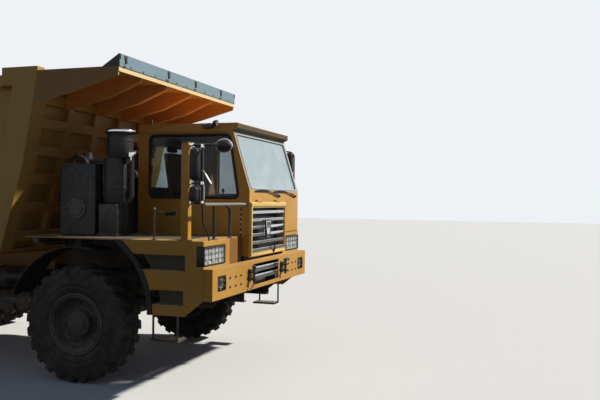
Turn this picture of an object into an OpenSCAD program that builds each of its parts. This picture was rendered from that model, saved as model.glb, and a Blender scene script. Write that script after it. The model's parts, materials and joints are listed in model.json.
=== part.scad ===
// Mining dump truck: three axles, wide body, cab offset to the left.
// Millimetres. X points forward, Y to the truck's left, Z up.
// The origin lies on the ground below the middle of the overall length.
// Lengths along the truck are given as distances behind the bumper's face.

/* [Overall] */
// Length from the bumper's face to the tail of the bed
truck_l = 8560; // [8400:10:8900]
// How far the front mirror stands out ahead of the bumper's face
mirror_reach = 200; // [150:5:300]
// Half of the width over the fenders
half_w = 1640; // [1600:5:1700]

/* [Axles] */
// Front axle behind the bumper's face
front_axle_d = 1776; // [1700:5:1850]
// First rear axle behind the front axle
wheelbase = 3650; // [3600:5:3700]
// Distance between the two rear axles
tandem_gap = 1500; // [1450:5:1550]
// Kingpin's distance from the middle of the truck
kingpin_y = 1180; // [1150:5:1200]
// Radius of the kingpin
kingpin_r = 35; // [30:1:40]
// Radius of the wheel spindles
spindle_r = 60; // [50:1:70]
// Running clearance of pins and spindles in their bores
pin_gap = 0.08; // [0.05:0.01:0.1]

/* [Wheels] */
// Outer radius of the tyres
tyre_r = 685; // [660:1:700]
// Width of one tyre
tyre_w = 376; // [350:2:390]
// Height of the tread's lugs
lug_h = 32; // [25:1:40]
// Lugs in each of a tyre's two rows
lugs = 24; // [18:1:30]
// Width of a lug around the tyre
lug_w = 84; // [60:2:100]
// Slant of a lug in degrees
lug_slant = 20; // [0:1:30]
// Radius of the rim where the tyre's bead sits
rim_r = 317; // [300:1:330]
// Middle of the front tyre from the middle of the truck
front_wheel_y = 1412; // [1400:1:1430]
// Middle of the inner rear tyre from the middle of the truck
twin_inner_y = 1015; // [1000:1:1030]
// Distance between the middles of twin tyres
twin_gap = 425; // [410:1:440]

/* [Frame] */
// Height of the rails' underside
rail_z = 880; // [860:5:900]
// Height of a rail
rail_h = 280; // [260:5:300]
// Outer face of a rail from the middle of the truck
rail_y = 440; // [420:5:460]
// Width of a rail's flanges
rail_w = 80; // [70:5:90]
// Thickness of the rails' steel
rail_t = 16; // [10:1:20]
// Rear end of the rails behind the bumper's face
rail_end_d = 7900; // [7880:5:7950]

/* [Bumper] */
// Half of the bumper's width
bumper_half_w = 1650; // [1600:5:1700]
// Height of the bumper's lower edge
bumper_z = 1050; // [1000:5:1100]
// Height of the bumper
bumper_h = 350; // [330:5:360]
// Depth of the bumper's returns
bumper_depth = 110; // [90:5:130]
// Thickness of the bumper's plate
bumper_t = 12; // [8:1:16]
// Half of the width of the middle opening
mouth_half_w = 460; // [430:5:490]

/* [Fenders and deck] */
// Height of the deck
deck_z = 1700; // [1680:5:1720]
// Front face of the fenders behind the bumper's face
fender_d = 114; // [112:1:140]
// Rear end of the deck behind the bumper's face
deck_end_d = 2450; // [2400:5:2500]
// Thickness of the fenders' plates
plate_t = 15; // [10:1:20]
// Radius of the wheel arch
arch_r = 1040; // [1020:5:1060]
// Height of the middle of the wheel arch
arch_z = 867; // [860:1:880]
// Inner face of the lamp box from the middle of the truck
lamp_box_y = 940; // [900:5:980]
// Apron beside the nose, behind the bumper's face
apron_d = 200; // [180:5:240]
// Lower edge of the apron above the ground
apron_low = 1180; // [1120:10:1300]
// Height of the tread of the hanging step
hang_step_z = 580; // [560:5:620]

/* [Cab] */
// Right side of the cab, from the middle of the truck
cab_right = -365; // [-400:5:-340]
// Left side of the cab, from the middle of the truck
cab_left = 1575; // [1550:5:1600]
// Front face of the cab behind the bumper's face
cab_front_d = 100; // [90:5:110]
// Rear wall of the cab behind the bumper's face
cab_rear_d = 1690; // [1650:5:1750]
// Height of the roof
roof_z = 3130; // [3100:5:3180]
// Thickness of the cab's walls
cab_t = 40; // [30:1:50]
// Height of the windscreen's lower edge
screen_z = 2280; // [2250:5:2300]
// Thickness of the glass
glass_t = 8; // [5:1:10]
// Gap around doors and flaps
door_gap = 7; // [6:1:9]
// Front edge of the door behind the bumper's face
door_front_d = 470; // [460:5:500]
// Rear edge of the door behind the bumper's face
door_rear_d = 1500; // [1450:5:1530]
// Radius of the door's hinge pins
hinge_r = 12; // [8:1:14]

/* [Grille] */
// Right edge of the front flap
flap_right = -400; // [-410:5:-390]
// Left edge of the front flap
flap_left = 920; // [900:5:940]
// Height of the front flap's lower edge
flap_z = 1435; // [1410:5:1450]
// Height of the front flap's upper edge
flap_top_z = 2130; // [2120:5:2140]
// Thickness of the front flap
flap_t = 30; // [20:1:36]
// Heights of the grille's bars
bar_zs = [1515, 1611, 1710, 1803, 1897, 1996];
// Height of one grille bar
bar_h = 44; // [30:1:50]

/* [Bed] */
// Height of the floor's underside
floor_z = 1500; // [1480:5:1520]
// Thickness of the bed's plates
bed_t = 20; // [14:1:24]
// Height of the ribs under the floor
floor_rib_h = 70; // [60:5:90]
// Half of the bed's outer width
bed_half_w = 1640; // [1600:5:1660]
// Half of the width between the bed's sides
load_half_w = 1500; // [1450:5:1540]
// Height of the side's top rail
bed_top_z = 3710; // [3690:5:3730]
// Front edge of the canopy behind the bumper's face
canopy_d = 1190; // [1150:5:1250]
// Height of the canopy's plate
canopy_z = 3640; // [3620:5:3650]
// Height of the grey strip on the canopy's edge
strip_h = 140; // [120:5:160]
// Distance of the bed's pivot behind the bumper's face
pivot_d = 7800; // [7790:5:7820]
// Height of the bed's pivot
pivot_z = 1230; // [1220:1:1240]
// Radius of the pivot's shaft
pivot_r = 45; // [40:1:50]

/* [Hoist] */
// Lower pin of the hoist behind the bumper's face
hoist_low_d = 4350; // [4330:5:4380]
// Height of the hoist's lower pin
hoist_low_z = 960; // [950:5:970]
// Upper eye of the hoist behind the bumper's face
hoist_top_d = 6200; // [6180:5:6220]
// Height of the hoist's upper eye
hoist_top_z = 1400; // [1390:5:1410]
// Distance of each cylinder from the middle of the truck
hoist_y = 190; // [180:5:210]
// Radius of the hoist's barrels
barrel_r = 85; // [70:1:95]
// Radius of the hoist's rods
rod_r = 55; // [45:1:60]

/* [Tanks] */
// Radius of the air cleaner
cleaner_r = 158; // [140:2:180]
// Radius of the exhaust silencer
silencer_r = 150; // [120:5:170]
// Length of the fuel tank
fuel_l = 1000; // [800:10:1100]

/* [Hidden] */
$fn = 64;
// Position of the bumper's face on X
nose = (truck_l - mirror_reach) / 2;
// Clearance between a lamp and its pocket
lamp_gap = 4;
// Height of the axles
axle_z = tyre_r;
rail_top = rail_z + rail_h;
rear_axle_ds = [front_axle_d + wheelbase, front_axle_d + wheelbase + tandem_gap];
trunnion_d = front_axle_d + wheelbase + tandem_gap / 2;
bumper_top = bumper_z + bumper_h;
cab_floor_z = deck_z;
fender_bottom_z = arch_z;
// Heights of the lamp box and of its lamp
lamp_box_z = 1400;
lamp_z = [1420, 1640];
lamp_y = [1065, half_w];
// Side pockets that serve as steps: [front, rear, lower, upper]
STEP_POCKETS = [[357, 765, 989, 1148], [337, 985, 1370, 1537]];
// Depth of the step pockets
pocket_depth = 190;
// Windscreen's top, roof edge and pillars in side view
screen_top = [333, 3030];
roof_front_d = 270;
// Side window: [front at the sill, front at the top, rear, sill, top]
side_window = [251, 377, 1510, 2180, 2980];
// Grille opening of the front flap: [right, left, lower, upper]
grille_hole = [-345, 895, 1480, 2060];
// Front wall of the bed in side view, from its foot up: [distance, height]
FRONT_WALL = [[2800, floor_z], [2490, 2540], [2360, 3260], [2290, canopy_z]];
front_frame_t = 80;
// Lower edge of the canopy's gussets, from the front: [distance, height]
CANOPY_EDGE = [[1200, canopy_z - 90], [1700, canopy_z - 230], [2110, canopy_z - 330]];
// Canopy ribs across the truck
CANOPY_RIBS = [-984, -328, 328, 984];
// Tail of the bed in side view
tail_floor_z = 1900;
tail_rise_d = 7050;
side_top_z = 3620;
// Door's height range
door_low_z = 1740;
door_high_z = 3040;
hinge_zs = [1900, 2150];
// Rear edge of the dashboard, which carries the steering column
DASH_EDGE = [[520, 2230], [640, 2150]];
// Driver's and passenger's places across the truck
driver_y = 1130;
// Rear of the seats' backs
seat_d = cab_rear_d - 170;
passenger_y = 180;
// Air cleaner's and silencer's places
cleaner_d = 1500;
cleaner_y = -1100;
silencer_z = 2430;
// Top of the hydraulic tank above the ground
oil_tank_z = 2580; // [2300:10:2620]
// Front of the valve box from the bumper's face
valve_box_d = 1760; // [1750:5:1770]
hub_r = 150;
gearbox_end_d = 2560;
// Height of the rear springs' seats above the axles
spring_seat_h = 110;
// Radius of the differentials' cases, and how far their noses stand out
diff_r = 235;
diff_nose = 300;
// Room between the two parts of a joint that may drift
free_gap = 6;
// Gap between two surfaces that slide on each other
soft_gap = 0.3;
// Upper face of the steering arms, and the tie rod that lies on them
arm_top_z = axle_z - 100;
tie_rod_r = 22;
// Radius of the hoist's lower shaft, and half the width of its upper eyes
hoist_pin_r = 40;
hoist_eye_half = 60;
// Lugs of the bed beside the rails: [inner face, outer face]
bed_lug_y = [480, 530];
// Front flap's hinges: first edge of each leaf, pin's place and radius
flap_hinge_ys = [-120, 580];
flap_hinge_w = 60;
flap_hinge_d = cab_front_d - 14;
flap_hinge_z = flap_top_z + 12;
flap_pin_r = 8;
// Door's hinge line
door_hinge_d = door_front_d - 8;
door_hinge_y = cab_left + hinge_r + 16;

function unit(v) = v / norm(v);

// Outline with its corners rounded by curves that start r from each corner
function rounded(pts, r, n = 4) = [
    for (i = [0:len(pts) - 1])
        let (a = pts[(i + len(pts) - 1) % len(pts)], b = pts[i],
             c = pts[(i + 1) % len(pts)],
             p = b + unit(a - b) * r, q = b + unit(c - b) * r)
        for (k = [0:n])
            let (t = k / n) p * (1 - t) * (1 - t) + b * 2 * t * (1 - t) + q * t * t
];

// Block between distances d behind the nose, widths y and heights z
module slab(d, y, z) {
    translate([nose - d[1], y[0], z[0]])
        cube([d[1] - d[0], y[1] - y[0], z[1] - z[0]]);
}

// Side outline of [distance, height] points, made as wide as y
module profile(pts, y) {
    translate([0, y[1], 0])
        rotate([90, 0, 0])
            linear_extrude(y[1] - y[0])
                polygon([for (p = pts) [nose - p[0], p[1]]]);
}

// Round bar across the truck
module cross_bar(d, z, y, r) {
    translate([nose - d, y[1], z])
        rotate([90, 0, 0])
            cylinder(h = y[1] - y[0], r = r);
}

// Upright round bar
module upright(d, y, z, r) {
    translate([nose - d, y, z[0]]) cylinder(h = z[1] - z[0], r = r);
}

// Round bar along the truck
module long_bar(d, y, z, r) {
    translate([nose - d[1], y, z])
        rotate([0, 90, 0])
            cylinder(h = d[1] - d[0], r = r);
}

// Round bar between two [distance, y, z] points
module strut(a, b, r) {
    p = [nose - a[0], a[1], a[2]];
    v = [a[0] - b[0], b[1] - a[1], b[2] - a[2]];
    translate(p)
        rotate([0, acos(v[2] / norm(v)), atan2(v[1], v[0])])
            cylinder(h = norm(v), r = r);
}

// The same piece on the left and on the right
module both_sides() {
    children();
    mirror([0, 1, 0]) children();
}

// Frame
module rail() {
    inner = rail_y - rail_w;
    difference() {
        slab([bumper_depth + 20, rail_end_d], [inner, rail_y], [rail_z, rail_top]);
        slab([bumper_depth, rail_end_d + 1], [inner - 1, rail_y - rail_t],
             [rail_z + rail_t, rail_top - rail_t]);
    }
}

// Plate that holds the lower pin of the hoist beside the rail
module hoist_bracket() {
    inner = rail_y - rail_w;
    difference() {
        slab([hoist_low_d - 90, hoist_low_d + 90], [inner - 40, inner - soft_gap],
             [rail_z, rail_top]);
        cross_bar(hoist_low_d, hoist_low_z, [inner - 60, inner], hoist_pin_r + pin_gap);
    }
}

// Post on the rail with a beam that carries the deck out to reach
module outrigger(d, reach) {
    slab([d, d + 80], [rail_y - 60, rail_y], [rail_top + soft_gap, deck_z - plate_t]);
    slab([d, d + 80], [rail_y, reach], [deck_z - plate_t - 60, deck_z - plate_t]);
}

// Post under the cab beside the engine, with a pad inside the deck's edge
module cab_post(d) {
    slab([d, d + 120], [325, rail_y], [rail_top + soft_gap, deck_z - plate_t - 20]);
    slab([d, d + 120], [325, -cab_right - 5], [rail_top + soft_gap, cab_floor_z]);
}

// Beam between the rails' channels
module cross_member(d, low) {
    y = rail_y - rail_t - soft_gap;
    slab(d, [-y, y], [low, rail_top - rail_t - soft_gap]);
}

// Everything but the rails stands off them by the sliding gap, as bolted pieces do
module frame_rails() color("dimgray") {
    both_sides() {
        rail();
        hoist_bracket();
        outrigger(560, lamp_box_y);
        outrigger(deck_end_d - 200, half_w);
        cab_post(1000);
        cab_post(1500);
        // Bumper bracket
        slab([bumper_t, bumper_depth + 20 - soft_gap], [370, 430],
             [bumper_z + 20, rail_top - 10]);
        // Trunnion bracket of the tandem with its spring seat
        slab([trunnion_d - 120, trunnion_d + 120], [rail_y + soft_gap, rail_y + 60],
             [axle_z - 60, rail_z + 120]);
        cross_bar(trunnion_d, axle_z + 10, [rail_y + 30, rail_y + 160], 55);
        slab([trunnion_d - 100, trunnion_d + 100], [rail_y + 60, rail_y + 150],
             [axle_z + 10, axle_z + spring_seat_h]);
    }
    for (d = [150, 2680, 3600, 7500]) cross_member([d, d + 90], rail_top - 110);
    // Bed's shaft on its brackets
    both_sides() {
        slab([pivot_d - 100, pivot_d + 100], [rail_y - rail_w, rail_y],
             [rail_top + soft_gap, pivot_z]);
        cross_bar(pivot_d, pivot_z, [rail_y - rail_w, rail_y], pivot_z - rail_top - 2);
    }
    cross_bar(pivot_d, pivot_z, [-bed_lug_y[1] - 30, bed_lug_y[1] + 30], pivot_r);
    // Rear cross member with its towing eye
    difference() {
        union() {
            cross_member([rail_end_d - 60, rail_end_d], rail_z + rail_t + soft_gap);
            slab([rail_end_d, rail_end_d + 150], [-80, 80], [rail_z + 110, rail_z + 170]);
        }
        upright(rail_end_d + 80, 0, [rail_z, rail_top], 30);
    }
}

// Front bumper
module bumper() color("gold") {
    difference() {
        slab([0, bumper_depth], [-bumper_half_w, bumper_half_w], [bumper_z, bumper_top]);
        slab([bumper_t, bumper_depth + 1],
             [-(bumper_half_w - bumper_t), bumper_half_w - bumper_t],
             [bumper_z + bumper_t, bumper_top - bumper_t]);
        slab([-1, bumper_t + 1], [-mouth_half_w, mouth_half_w],
             [bumper_z + 50, bumper_top - 40]);
        both_sides()
            slab([-1, bumper_t + 1], [1290, 1510], [bumper_z + 90, bumper_top - 90]);
    }
}

// One towing clevis with its pin
module tow_clevis(y) {
    slab([-14, 0], [y - 60, y + 60], [1170, 1310]);
    for (z = [1190, 1270])
        slab([-90, -14], [y - 35, y + 35], [z, z + 20]);
    upright(-58, y, [1150, 1340], 16);
    upright(-58, y, [1325, 1345], 28);
}

module bumper_fittings() color("silver") {
    // Bars across the middle opening
    for (z = [1160, 1255])
        slab([bumper_t, bumper_t + 18], [-mouth_half_w - 30, mouth_half_w + 30], [z, z + 45]);
    for (y = [-580, 580]) tow_clevis(y);
}

// Bars in front of a lamp: columns upright ones and rows level ones
module lamp_guard(d, y, z, columns, rows) {
    bar = 8;
    for (i = [0:columns]) {
        c = y[0] + i * (y[1] - y[0] - bar) / columns;
        slab([d - bar, d], [c, c + bar], z);
    }
    for (i = [0:rows]) {
        c = z[0] + i * (z[1] - z[0] - bar) / rows;
        slab([d - bar, d], y, [c, c + bar]);
    }
}

module front_lamps() color("lightgray") {
    both_sides() {
        // Head lamp
        slab([fender_d - 6, fender_d + 86], [lamp_y[0] + lamp_gap, lamp_y[1]],
             [lamp_z[0] + lamp_gap, lamp_z[1] - lamp_gap]);
        lamp_guard(fender_d - 6, [lamp_y[0] + lamp_gap, lamp_y[1]],
                   [lamp_z[0] + lamp_gap, lamp_z[1] - lamp_gap], 6, 3);
        // Fog lamp with its stay
        slab([-4, 50], [1294, 1506], [1144, 1306]);
        lamp_guard(-4, [1294, 1506], [1144, 1306], 4, 2);
        slab([34, 50], [1360, 1440], [1306, bumper_top - bumper_t]);
    }
}

// Side outline of the fender ahead of the wheel
function fender_outline() = [
    [fender_d, deck_z - plate_t], [fender_d, bumper_z], [342, fender_bottom_z],
    [front_axle_d - 500, fender_bottom_z], [front_axle_d - 500, deck_z - plate_t]
];

module arch_disc(r, y) {
    translate([nose - front_axle_d, y[1], arch_z])
        rotate([90, 0, 0])
            cylinder(h = y[1] - y[0], r = r, $fn = 96);
}

// One fender on the left side, its deck starting at inner_y
module fender(inner_y) {
    difference() {
        union() {
            difference() {
                profile(fender_outline(), [lamp_box_y, half_w]);
                // Hollow inside, open at the bottom
                difference() {
                    slab([fender_d + plate_t, front_axle_d],
                         [lamp_box_y + plate_t, half_w - plate_t], [700, deck_z - plate_t]);
                    arch_disc(arch_r + plate_t, [0, half_w + 1]);
                }
            }
            // Walls of the step pockets
            for (s = STEP_POCKETS)
                slab([s[0] - plate_t, s[1] + plate_t], [half_w - pocket_depth - plate_t, half_w],
                     [s[2] - plate_t, s[3] + plate_t]);
            // Walls of the lamp's pocket
            slab([fender_d, fender_d + 86 + plate_t], [lamp_y[0] - plate_t, half_w],
                 [lamp_z[0] - plate_t, lamp_z[1] + plate_t]);
        }
        for (s = STEP_POCKETS)
            slab([s[0], s[1]], [half_w - pocket_depth, half_w + 1], [s[2], s[3]]);
        slab([fender_d - 1, fender_d + 86], [lamp_y[0], half_w + 1], lamp_z);
        arch_disc(arch_r, [0, half_w + 1]);
    }
    // Deck
    slab([fender_d, deck_end_d], [lamp_box_y, half_w], [deck_z - plate_t, deck_z]);
    if (inner_y < lamp_box_y) {
        slab([430, cab_rear_d + 40], [inner_y, lamp_box_y], [deck_z - plate_t, deck_z]);
        slab([cab_rear_d + 40, deck_end_d], [rail_y + 10, lamp_box_y],
             [deck_z - plate_t, deck_z]);
        // Apron between the lamp's box and the nose
        slab([apron_d, apron_d + plate_t], [inner_y, lamp_box_y + plate_t],
             [apron_low, deck_z - plate_t]);
    }
}

module fender_left() color("gold") fender(lamp_box_y);
module fender_right() color("gold") mirror([0, 1, 0]) fender(-cab_right + 15);

// Rubber lip of the wheel arch and the guard behind it
module arch_guards() color("black") {
    guard_r = 900;
    both_sides() {
        difference() {
            arch_disc(arch_r - 0.3, [half_w - 40, half_w + 10]);
            arch_disc(arch_r - 60, [half_w - 41, half_w + 11]);
            slab([0, front_axle_d + 1200], [half_w - 50, half_w + 20],
                 [deck_z - plate_t, 2200]);
            slab([0, front_axle_d + 1200], [half_w - 50, half_w + 20],
                 [-500, fender_bottom_z]);
            slab([front_axle_d, front_axle_d + 1200], [half_w - 50, half_w + 20], [0, 2200]);
        }
        // Guard around the tyre, carried below the deck
        difference() {
            translate([nose - front_axle_d, half_w - 20, axle_z])
                rotate([90, 0, 0])
                    cylinder(h = tyre_w, r = guard_r + 14, $fn = 96);
            translate([nose - front_axle_d, half_w, axle_z])
                rotate([90, 0, 0])
                    cylinder(h = tyre_w + 60, r = guard_r, $fn = 96);
            slab([0, front_axle_d - 250], [0, half_w + 20], [0, 3000]);
            slab([0, front_axle_d + 1200], [0, half_w + 20], [-500, 1000]);
        }
        for (y = [half_w - 320, half_w - 120])
            slab([front_axle_d - 40, front_axle_d + 40], [y, y + 20],
                 [axle_z + guard_r + 10, deck_z - plate_t]);
    }
}

// Steps that hang below the fenders
module side_steps() color("dimgray") {
    both_sides() {
        slab([412, front_axle_d - 1018], [half_w - 200, half_w],
             [hang_step_z, hang_step_z + 25]);
        for (d = [412, front_axle_d - 1064])
            slab([d, d + 20], [half_w - plate_t, half_w], [hang_step_z + 25, fender_bottom_z]);
    }
}

// Rail along the front of the right deck
module handrails() color("silver") {
    rail_height = 2100;
    for (y = [-1305, -860]) upright(150, y, [deck_z, rail_height], 17);
    cross_bar(150, rail_height, [-1570, cab_right], 20);
    // Thin post at the rear of the step
    upright(1330, -1600, [deck_z, 2050], 11);
}

// Mirrors on their posts
module mirrors() color("dimgray") {
    // Right post and its arms
    slab([307, 397], [-half_w, -half_w + 90], [deck_z, 2780]);
    slab([265, 440], [-half_w, -half_w + 130], [deck_z, deck_z + 12]);
    strut([352, -half_w + 45, 2750], [-(mirror_reach - 100), -half_w, 2738], 14);
    upright(145, -half_w + 12, [2110, 2755], 13);
    for (z = [2112, 2330])
        strut([145, -half_w + 12, z], [352, -half_w + 45, z], 12);
    // Right mirror heads, and the round one that shows the nose
    slab([155, 265], [-half_w - 95, -half_w + 100], [2360, 2715]);
    slab([165, 270], [-half_w - 95, -half_w + 80], [2122, 2300]);
    translate([nose + mirror_reach - 100, -half_w + 40, 2738])
        rotate([90, 0, 0]) cylinder(h = 80, r1 = 100, r2 = 55, $fn = 48);
    // Left arm and head on the cab
    for (z = [[2290, 2330], [2850, 2900]]) {
        slab([330, 410], [cab_left, cab_left + 24], [z[0], z[0] + 80]);
        strut([370, cab_left + 16, z[0] + 40], [215, 1720, z[1]], 14);
    }
    upright(215, 1720, [2310, 2920], 14);
    slab([225, 345], [1650, half_w + 100], [2550, 2880]);
}

// Cab's outer and inner side outlines
function cab_outer() = [
    [cab_front_d, cab_floor_z], [cab_front_d, screen_z], screen_top,
    [roof_front_d, screen_top[1] + 30], [roof_front_d, roof_z],
    [cab_rear_d, roof_z], [cab_rear_d, cab_floor_z]
];
function cab_inner() = [
    [440, cab_floor_z + cab_t], [440, 2090], [cab_front_d + cab_t + 5, 2190],
    [cab_front_d + cab_t + 5, screen_z - 10], [screen_top[0] + cab_t + 5, roof_z - cab_t - 75],
    [screen_top[0] + cab_t + 5, roof_z - cab_t], [cab_rear_d - cab_t, roof_z - cab_t],
    [cab_rear_d - cab_t, cab_floor_z + cab_t]
];

function window_outline(grow) = rounded([
    [side_window[0] - grow, side_window[3] - grow],
    [side_window[1] - grow * 0.9, side_window[4] + grow],
    [side_window[2] + grow, side_window[4] + grow],
    [side_window[2] + grow, side_window[3] - grow]
], 70);

// Windscreen between two depths behind its outer face
function screen_band(depth, low, high) =
    let (lean = (screen_top[0] - cab_front_d) / (screen_top[1] - screen_z),
         foot = cab_front_d + depth)
    [foot + lean * (low - screen_z), foot + lean * (high - screen_z)];

function screen_outline(near, far, low, high) =
    let (a = screen_band(near, low, high), b = screen_band(far, low, high))
    [[a[0], low], [b[0], low], [b[1], high], [a[1], high]];

// Outline of the door and of its window: [distance, height]
function door_outline(grow) = rounded([
    [door_front_d - grow, door_low_z - grow], [door_front_d - grow, door_high_z + grow],
    [door_rear_d + grow, door_high_z + grow], [door_rear_d + grow, door_low_z - grow]
], 50);
function door_window(grow) = rounded([
    [door_front_d + 90 - grow, 2180 - grow], [door_front_d + 90 - grow, 2950 + grow],
    [door_rear_d - 90 + grow, 2950 + grow], [door_rear_d - 90 + grow, 2180 - grow]
], 60);

module cab_shell() color("gold") {
    difference() {
        union() {
            profile(cab_outer(), [cab_right, cab_left]);
            // Sides of the nose below the cab's floor
            slab([cab_front_d, 400], [cab_right, cab_right + 30], [flap_z + 10, cab_floor_z]);
            slab([cab_front_d, 400], [flap_left - 30, flap_left], [flap_z + 10, cab_floor_z]);
        }
        profile(cab_inner(), [cab_right + cab_t, cab_left - cab_t]);
        // Room behind the front flap
        profile([[60, 1600], [60, 2070], [400, 2050], [400, 1600]],
                [cab_right + 30, flap_left - 30]);
        profile(screen_outline(-20, 80, screen_z + 20, screen_top[1] - 40),
                [cab_right + 50, cab_left - 80]);
        profile(window_outline(0), [cab_right - 1, cab_right + cab_t + 1]);
        profile(door_outline(door_gap), [cab_left - cab_t - 1, cab_left + 1]);
        // Rear window
        slab([cab_rear_d - cab_t - 1, cab_rear_d + 1], [cab_right + 250, cab_left - 250],
             [2300, 2900]);
    }
    // Hinge pins of the door with their leaves on the pillar
    for (z = hinge_zs) {
        upright(door_hinge_d, door_hinge_y, [z - 50, z + 125], hinge_r);
        for (low = [z - 50, z + 85])
            slab([door_front_d - 70, door_hinge_d + 4], [cab_left, door_hinge_y + 8],
                 [low, low + 40]);
    }
    // Hinge pins of the front flap between their ears
    for (y = flap_hinge_ys) {
        cross_bar(flap_hinge_d, flap_hinge_z, [y - 30, y + flap_hinge_w + 30], flap_pin_r);
        for (low = [y - 30, y + flap_hinge_w + 8])
            slab([flap_hinge_d - 10, cab_front_d], [low, low + 22],
                 [flap_hinge_z - 14, flap_hinge_z + 14]);
    }
}

module cab_glass() color("lightblue") {
    profile(screen_outline(12, 12 + glass_t, screen_z + 20, screen_top[1] - 40),
            [cab_right + 50, cab_left - 80]);
    profile(window_outline(0), [cab_right + 12, cab_right + 12 + glass_t]);
    slab([cab_rear_d - 24, cab_rear_d - 24 + glass_t], [cab_right + 250, cab_left - 250],
         [2300, 2900]);
}

module wipers() color("black") {
    for (pivot = [700, 1400]) {
        strut([84, pivot, screen_z - 70], [84, pivot - 480, screen_z - 10], 9);
        slab([78, 92], [pivot - 900, pivot - 380], [screen_z - 22, screen_z + 2]);
        long_bar([80, cab_front_d], pivot, screen_z - 70, 16);
    }
}

module roof_lamps() color("dimgray") {
    // Lamp on its stay under the right edge of the roof, and a small one at the rear
    slab([600, 745], [cab_right - 45, cab_right], [roof_z - 75, roof_z - 15]);
    long_bar([530, 600], cab_right - 46, roof_z - 10, 44);
    slab([1480, 1530], [cab_right + 5, cab_right + 50], [roof_z, roof_z + 70]);
}

module seats() color("black") {
    for (y = [passenger_y, driver_y]) {
        slab([seat_d - 400, seat_d - 180], [y - 120, y + 120], [cab_floor_z + cab_t, 2060]);
        slab([seat_d - 560, seat_d - 80], [y - 240, y + 240], [2060, 2190]);
        profile([[seat_d - 100, 2190], [seat_d - 190, 2190], [seat_d - 80, 2850],
                 [seat_d, 2850]], [y - 230, y + 230]);
    }
}

module dashboard() color("dimgray") {
    profile([[440, 1950], [440, 2090], [200, 2205], [200, 2230], DASH_EDGE[0],
             DASH_EDGE[1], [640, 2050], [560, 1950]],
            [cab_right + cab_t + 5, cab_left - cab_t - 5]);
}

// The column stands square on the sloping edge of the dashboard
module steering_wheel() color("black") {
    edge = DASH_EDGE[1] - DASH_EDGE[0];
    foot = (DASH_EDGE[0] + DASH_EDGE[1]) / 2;
    column = unit([-edge[1], edge[0]]);
    column_l = 205;
    translate([nose - foot[0], driver_y, foot[1]])
        rotate([0, -atan2(column[0], column[1]), 0]) {
            cylinder(h = column_l, r = 25);
            translate([0, 0, column_l]) {
                rotate_extrude() translate([215, 0]) circle(r = 16, $fn = 24);
                cylinder(h = 16, r = 60, center = true);
                for (a = [30, 150, 270])
                    rotate([0, 0, a]) translate([0, -14, -6]) cube([210, 28, 12]);
            }
        }
}

// Front flap with the grille, hinged at its upper edge
module front_flap() color("gold") {
    d0 = cab_front_d - flap_t;
    difference() {
        slab([d0, cab_front_d - 6], [flap_right, flap_left], [flap_z, flap_top_z]);
        slab([d0 - 1, cab_front_d], [grille_hole[0], grille_hole[1]],
             [grille_hole[2], grille_hole[3]]);
        for (y = flap_hinge_ys)
            slab([d0 - 1, cab_front_d], [y - 38, y + flap_hinge_w + 38],
                 [flap_top_z - 22, flap_top_z + 1]);
    }
    // Hinge leaves
    for (y = flap_hinge_ys)
        difference() {
            union() {
                slab([flap_hinge_d - 7, flap_hinge_d + 7], [y, y + flap_hinge_w],
                     [flap_top_z - 24, flap_hinge_z]);
                cross_bar(flap_hinge_d, flap_hinge_z, [y, y + flap_hinge_w], flap_pin_r + 6);
            }
            cross_bar(flap_hinge_d, flap_hinge_z, [y - 1, y + flap_hinge_w + 1],
                      flap_pin_r + pin_gap);
        }
}

module grille_bars() color("silver") {
    for (z = bar_zs)
        slab([cab_front_d - flap_t + 4, cab_front_d - 8], [grille_hole[0], grille_hole[1]],
             [z - bar_h / 2, z + bar_h / 2]);
    // Plain plate in the middle of the grille
    slab([cab_front_d - flap_t - 4, cab_front_d - flap_t + 4], [90, 300], [1680, 1880]);
}

module door_left() color("gold") {
    difference() {
        profile(door_outline(0), [cab_left - cab_t, cab_left]);
        profile(door_window(0), [cab_left - cab_t - 1, cab_left + 1]);
    }
    // Hinge leaves that turn on the pins
    for (z = hinge_zs)
        difference() {
            union() {
                slab([door_front_d, door_front_d + 60], [cab_left, door_hinge_y], [z, z + 75]);
                upright(door_hinge_d, door_hinge_y, [z, z + 75], hinge_r + 10);
            }
            upright(door_hinge_d, door_hinge_y, [z - 1, z + 76], hinge_r + pin_gap);
        }
    // Handle
    slab([door_rear_d - 170, door_rear_d - 40], [cab_left, cab_left + 18], [1985, 2015]);
}

module door_glass() color("lightblue")
    profile(door_window(0), [cab_left - 24, cab_left - 24 + glass_t]);

// Engine as one block, with its gearbox behind
module engine() color("dimgray") {
    slab([760, 2060], [-320, 320], [900, 1640]);
    slab([2060, gearbox_end_d], [-220, 220], [840, 1240]);
}

module radiator() color("black") {
    slab([200, 330], [cab_right + 50, flap_left - 50], [rail_top, 2040]);
}

// Air cleaner on its stand behind the cab
module air_cleaner() color("black") {
    upright(cleaner_d + 65, cleaner_y, [2080, 2645], cleaner_r - 24);
    upright(cleaner_d, cleaner_y, [2640, 2950], cleaner_r);
    translate([nose - cleaner_d, cleaner_y, 2950])
        cylinder(h = 50, r1 = cleaner_r, r2 = cleaner_r + 25);
    slab([cleaner_d - 60, cleaner_d + 230], [cleaner_y - 150, cleaner_y + 150],
         [deck_z, 2080]);
}

module silencer() color("gray") {
    both_sides()
        slab([2080, 2160], [rail_y - 60, rail_y], [rail_top, silencer_z]);
    cross_bar(2120, silencer_z, [-620, 460], silencer_r);
    upright(2120, 300, [silencer_z, 2900], 60);
}

module hydraulic_tank() color("dimgray") {
    slab([1750, 2250], [-1250, -700], [deck_z, oil_tank_z]);
    // Valve box beside it, over the engine's rear end
    slab([valve_box_d, valve_box_d + 190], [-700, -100], [deck_z, oil_tank_z - 130]);
}

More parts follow.
